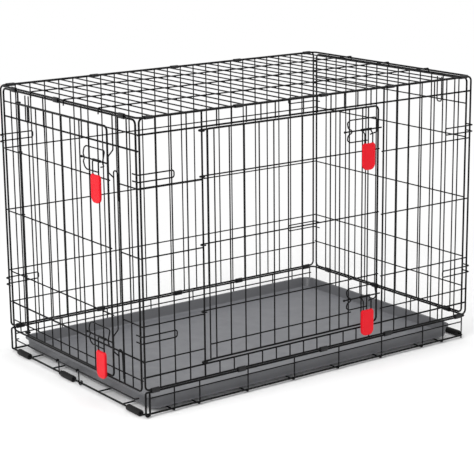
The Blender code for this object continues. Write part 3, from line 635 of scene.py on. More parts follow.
@dataclass(kw_only=True)
class WireWork:
    """One piece of round wires and spot welds, laid out on a side of the crate."""

    bench: Bench
    side: Side
    runs: dict[float, list[tuple]] = field(default_factory=dict)
    welds: list[tuple[Vector, Vector]] = field(default_factory=list)

    @property
    def face(self) -> Face:
        """Directions of the piece's side."""
        return self.bench.faces[self.side]

    def path(self, points: Sequence[Vector], radius: float, closed: bool = False) -> None:
        """Add a wire through world points."""
        self.runs.setdefault(radius, []).append((points, closed))

    def straight(self, start: tuple, end: tuple, radius: float = GAUGE.mesh) -> None:
        """Add a straight wire between two places on the face."""
        self.path(self.face.lay((start, end)), radius)

    def upright(
        self, u: float, low: float, high: float, w: float = 0.0, radius: float = GAUGE.mesh
    ) -> None:
        """Add a straight wire along v."""
        self.straight((u, low, w), (u, high, w), radius)

    def rail(
        self, v: float, start: float, end: float, w: float = -GAUGE.layer, radius: float = GAUGE.mesh
    ) -> None:
        """Add a straight wire along u."""
        self.straight((start, v, w), (end, v, w), radius)

    def bent(
        self, places: Sequence[tuple], bend: float, radius: float = GAUGE.mesh,
        closed: bool = False, steps: int = BEND_STEPS,
    ) -> None:
        """Add a wire through places on the face, with round bends."""
        self.path(rounded(self.face.lay(places), bend, steps, closed), radius, closed)

    def ring(self, half_u: float, low: float, high: float, w: float = 0.0) -> None:
        """Add a closed frame wire with round corners."""
        places = [(-half_u, low, w), (half_u, low, w), (half_u, high, w), (-half_u, high, w)]
        self.bent(places, GAUGE.frame_bend, GAUGE.frame, closed=True)

    def weld(
        self, across: Iterable[float], up: Iterable[float], w: float = -GAUGE.layer / 2
    ) -> None:
        """Add a weld at each crossing of two rows of wires."""
        self.welds += [(self.face.at(u, v, w), self.face.w) for u, v in product(across, up)]

    def grid(self, across: Sequence[float], low: float, high: float, rails: tuple, end: float) -> None:
        """Add uprights, the rails behind them and their welds.

        Args:
            across: Places of the uprights.
            low: Their lower ends.
            high: Their upper ends.
            rails: Heights of the rails.
            end: Place of the rails' ends.
        """
        for u in across:
            self.upright(u, low, high)
        for v in rails:
            self.rail(v, -end, end)
        self.weld(across, rails)

    def draw(self, radius: float) -> Object:
        """Draw the wires of one radius as a curve with a round section and make it a mesh.

        Args:
            radius: Radius of the section.

        Returns:
            The mesh object.
        """
        item = primitive(bpy.ops.curve.primitive_nurbs_path_add)
        curve = item.data
        curve.splines.clear()
        curve.bevel_depth = radius
        curve.bevel_resolution = WIRE_DETAIL
        curve.use_fill_caps = True
        for points, closed in self.runs[radius]:
            spline = curve.splines.new("POLY")
            spline.points.add(len(points) - 1)
            for point, place in zip(spline.points, points):
                point.co = (*place, 1.0)
            spline.use_cyclic_u = closed
        bpy.ops.object.convert(target="MESH")
        return item

    def woven(self) -> Object:
        """Make one mesh of the wires and welds.

        Returns:
            The mesh object.
        """
        items = [self.draw(radius) for radius in sorted(self.runs)]
        for centre, direction in self.welds:
            turn = direction.to_track_quat("Z", "Y").to_matrix().to_4x4()
            items.append(copied(self.bench.weld, "weld", Matrix.Translation(centre) @ turn))
        piece = joined(items)
        smooth(piece, WIRE_CREASE)
        return piece

    def deliver(self, name: str, body: str, *nodes: str) -> None:
        """Weave the piece and hand it over."""
        self.bench.deliver(self.woven(), name, body, Slot.WIRE, nodes)


@dataclass(kw_only=True)
class LongPanel(WireWork):
    """A long side: a welded grid in a frame wire, with flat hooks round the ends' edges."""

    name: str
    rails: tuple = (0.490, 0.345, 0.200, 0.123)
    end: float = CRATE.half_length + GAUGE.frame
    hook_heights: tuple = (0.5135, 0.173)
    hook_spread: float = 0.015
    hook_length: float = 0.080
    hook_outreach: float = 0.007
    hook_tip: float = 0.018
    hook_bays: tuple = (1, 2)

    def build(self) -> None:
        """Model the panel."""
        self.ring(CRATE.half_length, CRATE.panel_bottom, CRATE.height)
        self.add_grid()
        for height, side in product(self.hook_heights, BOTH):
            self.add_hook(height, side)
        self.deliver(f"{self.name}_wires", "cage", self.name)

    def add_grid(self) -> None:
        """Add the uprights and rails."""
        self.grid(UPRIGHTS, CRATE.panel_bottom, CRATE.height, self.rails, self.end)

    def add_hook(self, height: float, side: int) -> None:
        """Add one corner hook.

        Args:
            height: Height of its middle.
            side: Which end it reaches round.
        """
        w = GAUGE.layer
        corner = side * (CRATE.half_length + self.hook_outreach)
        inner = side * (CRATE.half_length - self.hook_length)
        high = height + self.hook_spread / 2
        low = height - self.hook_spread / 2
        places = [(corner, high, -self.hook_tip), (corner, high, w), (inner, high, w)]
        places += [(inner, low, w), (corner, low, w), (corner, low, -self.hook_tip)]
        self.bent(places, self.hook_spread / 3)
        crossed = [side * (CRATE.half_length - bay * CRATE.pitch) for bay in self.hook_bays]
        self.weld(crossed, (high, low), w / 2)


@dataclass(kw_only=True)
class DoorPanel(LongPanel):
    """The long side with the large door's opening."""

    hinge_bay: int = 4
    latch_bay: int = 17
    opening: tuple = (0.089, 0.601)

    def add_grid(self) -> None:
        """Add the uprights and rails round the opening."""
        bottom, top = CRATE.panel_bottom, CRATE.height
        low, high = self.opening
        for bay, u in enumerate(UPRIGHTS, 1):
            if self.hinge_bay < bay < self.latch_bay:
                self.upright(u, high - GAUGE.opening, top)
                self.upright(u, bottom, low + GAUGE.opening)
                continue
            edge = bay in (self.hinge_bay, self.latch_bay)
            self.upright(u, bottom, top, 0.0, GAUGE.opening if edge else GAUGE.mesh)
            self.weld([u], self.rails)
        self.weld(UPRIGHTS, self.opening)
        for v in self.rails:
            self.rail(v, -self.end, CRATE.upright(self.hinge_bay) + GAUGE.opening)
            self.rail(v, CRATE.upright(self.latch_bay) - GAUGE.opening, self.end)
        for v in self.opening:
            self.rail(v, -self.end, self.end, radius=GAUGE.opening)


@dataclass(kw_only=True)
class TopPanel(WireWork):
    """The roof grid, whose long wires curl down over the end edges."""

    side: Side = Side.TOP
    long_wires: tuple = (0.143, 0.0, -0.143)
    drop: float = 0.010

    def build(self) -> None:
        """Model the roof."""
        half = CRATE.half_width - GAUGE.pair
        self.ring(CRATE.half_length, -half, half)
        for u in UPRIGHTS:
            self.upright(u, -half, half)
        out = CRATE.half_length + GAUGE.frame + GAUGE.seat + GAUGE.mesh
        w = GAUGE.layer
        for v in self.long_wires:
            places = [(-out, v, -self.drop), (-out, v, w), (out, v, w), (out, v, -self.drop)]
            self.bent(places, 2 * GAUGE.mesh)
        self.weld(UPRIGHTS, self.long_wires, w / 2)
        self.deliver("top_panel_wires", "cage", "top_panel")


@dataclass(kw_only=True)
class EndPanel(WireWork):
    """What both ends share: the narrow loop that hangs inside the top wire."""

    loop: float
    loop_low: float = 0.565
    loop_drop: float = 0.006
    loop_spread: float = 0.015
    end: float = CRATE.end_half + GAUGE.mesh

    def add_loop(self) -> None:
        """Add the loop."""
        w = -GAUGE.layer
        high = CRATE.end_top - self.loop_drop
        left, right = (self.loop + side * self.loop_spread / 2 for side in BOTH)
        places = [(left, high, w), (left, self.loop_low, w)]
        places += [(right, self.loop_low, w), (right, high, w)]
        self.bent(places, self.loop_spread / 3)


@dataclass(kw_only=True)
class RightEnd(EndPanel):
    """The plain end panel."""

    side: Side = Side.RIGHT
    loop: float = -0.190
    rails: tuple = (0.571, 0.492, 0.3475, 0.203, 0.130)
    bays: int = 14

    def build(self) -> None:
        """Model the panel."""
        half = CRATE.end_half
        self.ring(half, CRATE.panel_bottom, CRATE.end_top)
        places = [-half + bay * 2 * half / self.bays for bay in range(1, self.bays)]
        self.grid(places, CRATE.panel_bottom, CRATE.end_top, self.rails, self.end)
        self.add_loop()
        self.deliver("right_end_wires", "right_end", "right_end")


@dataclass(kw_only=True)
class LeftEnd(EndPanel):
    """The end panel with the smaller door's opening."""

    side: Side = Side.LEFT
    loop: float = -0.176
    bottom: float = 0.056
    opening_u: float = 0.2112
    opening: tuple = (0.122, 0.566)
    rails: tuple = (0.488, 0.3425, 0.197)
    outer_rails: tuple = (0.600, 0.079)
    short_uprights: tuple = (-0.097, 0.066)

    def build(self) -> None:
        """Model the panel."""
        top = CRATE.end_top
        self.ring(CRATE.end_half, self.bottom, top)
        middle = (self.opening_u + CRATE.end_half) / 2
        thin = (-middle, middle)
        thick = (-self.opening_u, self.opening_u)
        for u in thin:
            self.upright(u, self.bottom, top)
        for u in thick:
            self.upright(u, self.bottom, top, 0.0, GAUGE.opening)
        self.weld(thin + thick, self.rails + self.outer_rails + self.opening)
        for u in self.short_uprights:
            self.upright(u, self.opening[1] - GAUGE.opening, top)
        self.weld(self.short_uprights, (self.opening[1], self.outer_rails[0]))
        for v in self.rails:
            self.rail(v, -self.end, -self.opening_u + GAUGE.opening)
            self.rail(v, self.opening_u - GAUGE.opening, self.end)
        for v in self.outer_rails:
            self.rail(v, -self.end, self.end)
        for v in self.opening:
            self.rail(v, -self.end, self.end, radius=GAUGE.opening)
        self.add_loop()
        self.deliver("left_end_wires", "left_end", "left_end")


@dataclass(kw_only=True)
class BoltReceiver(WireWork):
    """The wire on the left end that steps out round the bolts' tips, with an arch by each."""

    side: Side = Side.LEFT
    u: float = 0.197
    bottom: float = 0.056
    reach: float = 0.023
    out: float = 0.0159
    bend: float = 0.006
    bolts: tuple = (0.529, 0.1435)
    arch_drop: float = 0.014
    arch_start: float = 0.031
    arch_leg: float = 0.078
    arch_foot: float = 0.2112 - GAUGE.opening - GAUGE.mesh
    arch_bend: float = 0.005

    def build(self) -> None:
        """Model the wire and its arches."""
        near = GAUGE.frame + GAUGE.mesh + GAUGE.hair
        half = (self.out - near) / 2
        u, foot = self.u, self.arch_foot
        places = [(u, CRATE.end_top, near)]
        for bolt in self.bolts:
            top, low = bolt + self.reach, bolt - self.reach
            places += [(u, top + half, near), (u, top - half, self.out)]
            places += [(u, low + half, self.out), (u, low - half, near)]
        self.bent([*places, (u, self.bottom, near)], self.bend)
        for bolt in self.bolts:
            high = bolt - self.arch_drop
            arch = [(u, bolt - self.arch_start, near), (u, high, near)]
            arch += [(foot, high, near / 2), (foot, bolt - self.arch_leg, 0.0)]
            self.bent(arch, self.arch_bend)
        self.deliver("bolt_receiver_wire", "left_end", "bolt_receiver")


@dataclass(frozen=True)
class Latch:
    """Sizes of the slide bolts, their keepers, levers and grips.

    The standoff lies between a door's plane and the bolts' axes; setbacks count from the tip.
    """

    travel: float = 0.012
    head_radius: float = 0.0027
    rod_edge: float = 0.45
    head_edge: float = 0.5
    barrel_wall: float = 0.0009
    barrel_length: float = 0.030
    arm_spacing: float = 0.023
    arm_setback: float = 0.045
    arm_bend: float = 0.004
    keeper_rise: float = 0.025
    keeper_shoulder: float = 0.020
    keeper_hollow: float = 0.008
    keeper_flat: float = 0.0025
    keeper_bend: float = 0.006
    keeper_steps: int = 5
    notch_setback: float = 0.0895
    leg_setback: float = 0.0150
    bulge: float = 0.0085
    grip_drop: float = 0.030
    socket: float = 0.015
    bore: float = GAUGE.bolt + GAUGE.seat
    standoff: float = GAUGE.mesh + bore + barrel_wall + GAUGE.seat
    bolt_length: float = notch_setback + GAUGE.mesh + GAUGE.seat + travel + 2 * head_radius


LATCH = Latch()


@dataclass(kw_only=True)
class Door(WireWork):
    """A hinged wire door with keepers, slide bolts, levers and grips."""

    label: str
    hinge: float
    left: float
    right: float
    bottom: float
    top: float
    plane: float
    rail_w: float
    rails: tuple
    uprights: list
    tip: float
    bolts: tuple
    grip_w: float
    kick_rail: tuple = ()
    eye_turns: range = range(120, -91, -15)

    @property
    def bolt_w(self) -> float:
        """Distance of the bolts' axes from the panel's plane."""
        return self.plane + LATCH.standoff

    def build(self) -> None:
        """Model the door and its latches."""
        self.add_frame()
        for u in self.uprights:
            self.upright(u, self.bottom, self.top, self.plane)
        for v in self.rails:
            places = [*self.eye(v), (self.right + GAUGE.mesh, v, self.rail_w)]
            self.path(self.face.lay(places), GAUGE.mesh)
        between = (self.plane + self.rail_w) / 2
        self.weld(self.uprights, self.rails, between)
        if self.kick_rail:
            v, start, end = self.kick_rail
            self.rail(v, start, end, self.rail_w)
            self.weld([u for u in self.uprights if start < u < end], [v], between)
        for v in self.bolts:
            self.add_keeper(v)
        body = f"{self.label}_door"
        self.deliver(f"{body}_wires", body, body)
        for place, v in zip(("upper", "lower"), self.bolts):
            LatchSet(self, f"{self.label}_{place}", v).build()

    def eye(self, v: float) -> list[tuple]:
        """Places of a hook round the hinge wire, from its free tip to the door.

        Args:
            v: Height of the hook.

        Returns:
            Face places.
        """
        places = []
        for turn in map(math.radians, self.eye_turns):
            u = self.hinge - abs(self.rail_w) * math.cos(turn)
            places.append((u, v, -self.rail_w * math.sin(turn)))
        return places

    def add_frame(self) -> None:
        """Add the frame wire: hook, top, latch side, bottom, hook."""
        near, far = (self.left + side * 2 * GAUGE.frame for side in BOTH)
        corners = [(far, self.top, self.plane), (self.right, self.top, self.plane)]
        corners += [(self.right, self.bottom, self.plane), (far, self.bottom, self.plane)]
        start = [*self.eye(self.top), (near, self.top, self.rail_w)]
        tail = [(near, self.bottom, self.rail_w), *reversed(self.eye(self.bottom))]
        run = rounded(self.face.lay(corners), GAUGE.frame_bend)
        self.path(self.face.lay(start) + run + self.face.lay(tail), GAUGE.frame)

    def add_keeper(self, v: float) -> None:
        """Add the bent wire that holds a bolt against the door.

        Args:
            v: Height of the bolt.
        """
        near = self.plane + 2 * GAUGE.mesh - GAUGE.weld
        over = self.bolt_w + GAUGE.bolt + GAUGE.seat + GAUGE.mesh
        mid = (near + over) / 2
        rise, flat = LATCH.keeper_rise, LATCH.keeper_flat
        notch = self.tip - LATCH.notch_setback
        leg = self.tip - LATCH.leg_setback
        bulge = notch - LATCH.bulge
        places = [(leg - 2 * LATCH.bulge, -rise / 2, near), (leg, -rise / 3, mid)]
        places += [(leg, -flat, over), (leg, flat, over), (leg, rise, near)]
        half = [(notch, rise, near), (bulge, LATCH.keeper_shoulder, near)]
        half += [(bulge, LATCH.keeper_hollow, mid), (notch, flat, over)]
        places += half + [(u, -height, w) for u, height, w in reversed(half)]
        places.append((leg - 3 * LATCH.bulge, -rise, near))
        places = [(u, v + height, w) for u, height, w in places]
        self.bent(places, LATCH.keeper_bend, steps=LATCH.keeper_steps)


@dataclass
class LatchSet:
    """One slide bolt of a door, with its lever and grip."""

    door: Door
    name: str
    v: float

    @property
    def middle(self) -> float:
        """Place of the lever along the bolt."""
        return self.door.tip - LATCH.arm_setback

    def build(self) -> None:
        """Model the bolt, the lever and the grip."""
        self.build_bolt()
        self.build_lever()
        grip_v = self.v - LATCH.grip_drop - Grip.height / 2
        centre = self.door.face.at(self.middle, grip_v, self.door.grip_w)
        grip = Grip(self.door.face, centre).model()
        nodes = [f"{self.name}_grip"]
        self.door.bench.deliver(
            grip, f"{self.name}_grip_paddle", f"{self.name}_lever", Slot.GRIP, nodes
        )

    def build_bolt(self) -> None:
        """Turn the bolt: a rod with a rounded tip and a domed head."""
        door, name = self.door, f"{self.name}_bolt"
        start = door.face.at(door.tip, self.v, door.bolt_w)
        end = door.face.at(door.tip - LATCH.bolt_length, self.v, door.bolt_w)
        rod = turned(start, end, GAUGE.bolt, LATCH.rod_edge)
        neck = end + door.face.u * (2 * LATCH.head_radius)
        head = turned(neck, end, LATCH.head_radius, LATCH.head_edge)
        door.bench.deliver(joined([rod, head]), f"{name}_rod", name, Slot.WIRE, [name])

    def build_lever(self) -> None:
        """Model the barrel on the rod and the two arms that run down into the grip."""
        door, name = self.door, f"{self.name}_lever"
        half = LATCH.barrel_length / 2
        ends = door.face.lay((self.middle + side * half, self.v, door.bolt_w) for side in BOTH)
        barrel = turned(*ends, LATCH.bore + LATCH.barrel_wall, TUBE_EDGE, LATCH.bore)
        arms = WireWork(bench=door.bench, side=door.side)
        reach = door.grip_w - door.bolt_w
        seat = (LATCH.bore + LATCH.barrel_wall / 2) * math.cos(math.pi / 4)
        low = self.v - LATCH.grip_drop - LATCH.socket
        for side in BOTH:
            u = self.middle + side * LATCH.arm_spacing / 2
            places = [(u, self.v - seat, door.bolt_w + seat), (u, self.v - reach, door.grip_w)]
            arms.bent([*places, (u, low, door.grip_w)], LATCH.arm_bend)
        piece = joined([arms.woven(), barrel])
        door.bench.deliver(piece, f"{name}_wires", name, Slot.WIRE, [name])


@dataclass
class Grip:
    """The flat red paddle on a lever: round corners, raised borders and two collars."""

    face: Face
    centre: Vector
    width: float = 0.035
    height: float = 0.060
    thickness: float = 0.006
    corners: tuple = (0.006, 0.006, 0.0135, 0.0135)
    steps: int = 8
    edge: float = 0.0012
    rim: float = 0.003
    recess: float = 0.0005
    crease: float = 35
    collar_rise: float = 0.0004
    collar_length: float = 0.0016
    collar_radius: float = 0.0025

    def model(self) -> Object:
        """Model the paddle from its outline by fill, extrude, inset and bevel.

        Returns:
            The paddle, with its place in its mesh.
        """
        points = round_rectangle(self.width / 2, self.height / 2, self.corners, self.steps)
        outline = bpy.ops.mesh.primitive_circle_add
        paddle = primitive(outline, vertices=len(points), radius=self.width, fill_type="NGON")
        for vertex, (across, up) in zip(paddle.data.vertices, points):
            vertex.co = (across, up, -self.thickness / 2)
        extrude_up(self.thickness)
        face_outwards()
        round_edges(paddle, self.edge)
        for sign in (1, -1):
            self.recess_face(paddle, sign)
        paddle.matrix_world = placement(self.centre, self.face.u, self.face.v)
        settle(paddle)
        smooth(paddle, self.crease)
        return joined([paddle, *map(self.collar, BOTH)])

    def recess_face(self, paddle: Object, sign: int) -> None:
        """Sink the middle of one broad face inside a border.

        Args:
            paddle: The paddle, lying flat.
            sign: 1 for the upper face, -1 for the lower one.
        """
        select_only(paddle)
        bpy.ops.object.mode_set(mode="EDIT")
        bpy.ops.mesh.select_mode(type="FACE")
        bpy.ops.mesh.select_all(action="DESELECT")
        bpy.ops.object.mode_set(mode="OBJECT")
        facing = [face for face in paddle.data.polygons if face.normal.z * sign > FACING]
        max(facing, key=lambda face: face.area).select = True
        bpy.ops.object.mode_set(mode="EDIT")
        bpy.ops.mesh.inset(thickness=self.rim, depth=0.0)
        bpy.ops.mesh.inset(thickness=self.recess, depth=-self.recess)
        bpy.ops.object.mode_set(mode="OBJECT")

    def collar(self, side: int) -> Object:
        """Turn the collar round one arm at the top of the paddle.

        Args:
            side: Which arm.

        Returns:
            The collar.
        """
        place = self.centre + self.face.v * (self.height / 2 + self.collar_rise)
        place += self.face.u * (side * LATCH.arm_spacing / 2)
        half = self.face.v * (self.collar_length / 2)
        bore = GAUGE.mesh + GAUGE.seat
        return turned(place - half, place + half, self.collar_radius, TUBE_EDGE, bore)


@dataclass(kw_only=True)
class Base(WireWork):
    """The welded tub under the panels."""

    side: Side = Side.GROUND
    ring_z: float = 0.007
    crosses: tuple = (0.064, 0.192, 0.320, 0.385)
    floor_wires: tuple = (-0.100, 0.100, -0.200, 0.200)
    wall_rail: float = 0.042
    end_uprights: tuple = (-0.196, -0.098, 0.0, 0.098, 0.196)
    cross_bend: float = 0.004
    turn_bend: float = 0.0045

    def build(self) -> None:
        """Model the tub as one welded piece."""
        half_l, half_w, z = CRATE.half_length, CRATE.half_width, self.ring_z
        ring_y = half_w - 2 * GAUGE.frame - GAUGE.seat
        self.ring(half_l, -ring_y, ring_y, z)
        low = z - GAUGE.layer
        for side, x in product(BOTH, self.crosses):
            self.add_cross(side * x, low)
        end = half_l - GAUGE.frame_bend
        far = end - GAUGE.mesh - GAUGE.hair
        floor_z = low + GAUGE.mesh + GAUGE.hair + GAUGE.floor
        for y in self.floor_wires:
            self.straight((-half_l, y, floor_z), (half_l, y, floor_z), GAUGE.floor)
        for side in BOTH:
            wall_y, inner_y = side * half_w, side * (half_w - GAUGE.layer)
            self.straight((far, wall_y, low - GAUGE.mesh), (far, wall_y, CRATE.wall))
            self.straight((-end, inner_y, self.wall_rail), (end, inner_y, self.wall_rail))
        for y in self.end_uprights:
            self.straight((half_l, y, z), (half_l, y, CRATE.wall))
        self.add_rim(end, low + GAUGE.frame - GAUGE.mesh)
        walls = ("base_front_wall", "base_back_wall", "base_end_wall")
        self.deliver("base_wires", "cage", "base_floor", *walls)

    def add_cross(self, x: float, low: float) -> None:
        """Add one cross wire, turned up at both walls, and its welds.

        Args:
            x: Place of the wire.
            low: Height of its floor run.
        """
        half, high = CRATE.half_width, CRATE.wall
        places = [(x, -half, high), (x, -half, low), (x, half, low), (x, half, high)]
        self.bent(places, self.cross_bend)
        self.weld([x], self.floor_wires, low + GAUGE.mesh)
        for side in BOTH:
            place = self.face.at(x, side * (half - GAUGE.layer / 2), self.wall_rail)
            self.welds.append((place, Y_DIR))

    def add_rim(self, end: float, low: float) -> None:
        """Add the rim wire, whose ends turn down and up again at the open end.

        Args:
            end: Place of the turned-up ends.
            low: Height of the turn.
        """
        half_l, half_w, high = CRATE.half_length, CRATE.half_width, CRATE.wall
        places = [(-half_l, -half_w), (half_l, -half_w), (half_l, half_w), (-half_l, half_w)]
        rim = rounded(
            self.face.lay((*place, high) for place in places), GAUGE.frame_bend - 2 * GAUGE.seat
        )
        turns = []
        for y in (-half_w, half_w):
            places = [(-end, y, high), (-end, y, low), (-half_l, y, low)]
            places += [(-half_l, y, high), (-end, y, high)]
            turns.append(rounded(self.face.lay(places), self.turn_bend))
        self.path(turns[0][:-1] + rim[1:-1] + turns[1][-2::-1], GAUGE.frame)


@dataclass(kw_only=True)
class PanStop(WireWork):
    """Bar outside the open end on two legs with eyes round the bottom end wire."""

    side: Side = Side.LEFT
    bar_height: float = 0.037
    reach: float = 0.0075
    half: float = 0.262
    legs: tuple = (-0.063, 0.025)
    end_bend: float = 0.010
    corner: float = 0.003
    wire_z: float = 0.007
    hook_turns: range = range(-60, 181, 20)
    eye_turns: range = range(0, -271, -15)

    def build(self) -> None:
        """Model the stop."""
        v, out, back = self.bar_height, self.reach, self.reach - self.end_bend
        bar = [(-self.half, v, back), (-self.half, v, out), (self.half, v, out)]
        self.bent([*bar, (self.half, v, back)], self.corner)
        eye = GAUGE.frame + GAUGE.seat + GAUGE.mesh
        hook = (v, out, 2 * GAUGE.mesh, self.hook_turns)
        for u in self.legs:
            leg = []
            for middle_v, middle_w, radius, turns in (hook, (self.wire_z, 0.0, eye, self.eye_turns)):
                for turn in map(math.radians, turns):
                    place_v = middle_v + radius * math.sin(turn)
                    leg.append((u, place_v, middle_w + radius * math.cos(turn)))
            self.path(self.face.lay(leg), GAUGE.mesh)
        self.deliver("pan_stop_wires", "pan_stop", "pan_stop")


@dataclass
class FloorPan:
    """Shallow tray with tapered walls and a turned-out rim."""

    bench: Bench
    shift: float = -0.004
    half_length: float = 0.434
    half_width: float = 0.2826
    bottom: float = 0.0095
    height: float = 0.027
    wall: float = 0.0024
    corner: float = 0.030
    least_corner: float = 0.004
    taper: float = 0.006
    lip: float = 0.003
    steps: int = 12
    heel: tuple = (0.0010, 0.0012)
    brim: tuple = ((0.0004, 0.0002), (0.0012, 0.0))
    brim_edge: float = 0.0006
    fillet: tuple = ((-0.0008, 0.0030), (0.0006, 0.0008), (0.0030, 0.0))

    def levels(self) -> list[tuple]:
        """Section of the tray's wall from the outside bottom in.

        Returns:
            Insets from the rim's outer edge, and heights.
        """
        top = self.bottom + self.height
        outer = self.lip + self.taper
        inner = self.lip + 2 * self.wall
        levels = [(outer + self.heel[0], self.bottom), (outer, self.bottom + self.heel[1])]
        levels += [(self.lip + self.wall, top - self.wall), (self.brim[0][0], top - self.wall)]
        levels += [(0.0, top - self.wall / 2)]
        levels += [(inset, top - drop) for inset, drop in self.brim]
        levels += [(inner - self.brim_edge, top), (inner, top - self.brim_edge)]
        floor = self.bottom + self.wall
        levels += [(outer + self.wall + inset, floor + rise) for inset, rise in self.fillet]
        return levels

    def build(self) -> None:
        """Model the tray by extruding its outline level by level."""
        sizes = {"vertices": 4 * (self.steps + 1), "radius": self.half_width}
        tray = primitive(bpy.ops.mesh.primitive_circle_add, fill_type="NGON", **sizes)
        for number, (inset, z) in enumerate(self.levels()):
            if number:
                extrude_up(self.wall)
            ring = [vertex for vertex in tray.data.vertices if vertex.select]
            corner = max(self.corner - inset, self.least_corner)
            half_x, half_y = self.half_length - inset, self.half_width - inset
            outline = round_rectangle(half_x, half_y, (corner,) * 4, self.steps)
            for vertex, (x, y) in zip(ring, outline):
                vertex.co = self.bench.centre + Vector((self.shift + x, y, z))
        face_outwards()
        smooth(tray, MOULDED_CREASE)
        self.bench.deliver(tray, "floor_pan_tray", "pan", Slot.PAN, ["floor_pan"])


@dataclass
class Feet:
    """Rubber sleeves on the bottom end wires."""

    bench: Bench
    radius: float = 0.007
    length: float = 0.050
    places: tuple = (-0.247, 0.030, 0.232)

    def build(self) -> None:
        """Model the six sleeves."""
        bore = GAUGE.frame + GAUGE.seat
        for label, side in (("left", -1), ("right", 1)):
            for number, y in enumerate(self.places, 1):
                place = self.bench.centre + Vector((side * CRATE.half_length, y, self.radius))
                ends = (place + end * self.length / 2 * Y_DIR for end in BOTH)
                sleeve = turned(*ends, self.radius, TUBE_EDGE, bore)
                name = f"{label}_foot_{number}"
                self.bench.deliver(sleeve, f"{name}_sleeve", "cage", Slot.FOOT, [name])


@dataclass
class HingeClips:
    """Metal sleeves that hold neighbouring frame wires side by side."""

    bench: Bench
    length: float = 0.020
    wall: float = 0.0011
    bays: tuple = (0.5, 6.5, 12.5, 17.5, 23.5)
    end_places: tuple = (-0.228, 0.038, 0.228)
    steps: int = 10
    edge: float = 0.0003

    def model(self) -> Object:
        """Model one sleeve lying along X with its two wires side by side along Y.

        Returns:
            The pattern sleeve.
        """
        radius = GAUGE.frame + GAUGE.seat + self.wall / 2
        points = []
        for side, step in product((1, -1), range(self.steps + 1)):
            turn = math.pi * (step / self.steps - 0.5)
            across = side * (GAUGE.pair / 2 + radius * math.cos(turn))
            points.append((across, side * radius * math.sin(turn)))
        blank = bpy.ops.mesh.primitive_cylinder_add
        sizes = {"vertices": len(points), "radius": self.length, "depth": self.length}
        sleeve = primitive(blank, end_fill_type="NOTHING", **sizes)
        for number, vertex in enumerate(sleeve.data.vertices):
            vertex.co = (vertex.co.z, *points[number // 2])
        face_outwards()
        thicken(sleeve, self.wall)
        round_edges(sleeve, self.edge)
        smooth(sleeve, MOULDED_CREASE)
        return sleeve

    def build(self) -> None:
        """Model one sleeve and copy it to every spot."""
        half_l, pair = CRATE.half_length, GAUGE.pair / 2
        limit = half_l - (GAUGE.frame_bend + CRATE.pitch) / 2
        low = CRATE.wall + pair
        spots = []
        for label, side in (("front", -1), ("back", 1)):
            for number, bay in enumerate(self.bays, 1):
                x = max(-limit, min(limit, CRATE.upright(bay)))
                high = (x, side * (CRATE.half_width - pair), CRATE.height)
                spots.append((f"{label}_top_clip_{number}", high, X_DIR, Y_DIR))
                seat = (x, side * CRATE.half_width, low)
                spots.append((f"{label}_base_clip_{number}", seat, X_DIR, Z_DIR))
        for number, y in enumerate(self.end_places, 1):
            high = (-half_l, y, CRATE.height - pair)
            spots.append((f"left_end_clip_{number}", high, Y_DIR, Z_DIR))
            spots.append((f"right_end_clip_{number}", (half_l, y, low), Y_DIR, Z_DIR))
        pattern = self.model()
        for node, place, along, apart in spots:
            matrix = placement(self.bench.centre + Vector(place), along, apart)
            sleeve = copied(pattern, node, matrix)
            self.bench.deliver(sleeve, f"{node}_sleeve", "cage", Slot.CLIP, [node])
        bpy.data.objects.remove(pattern, do_unlink=True)


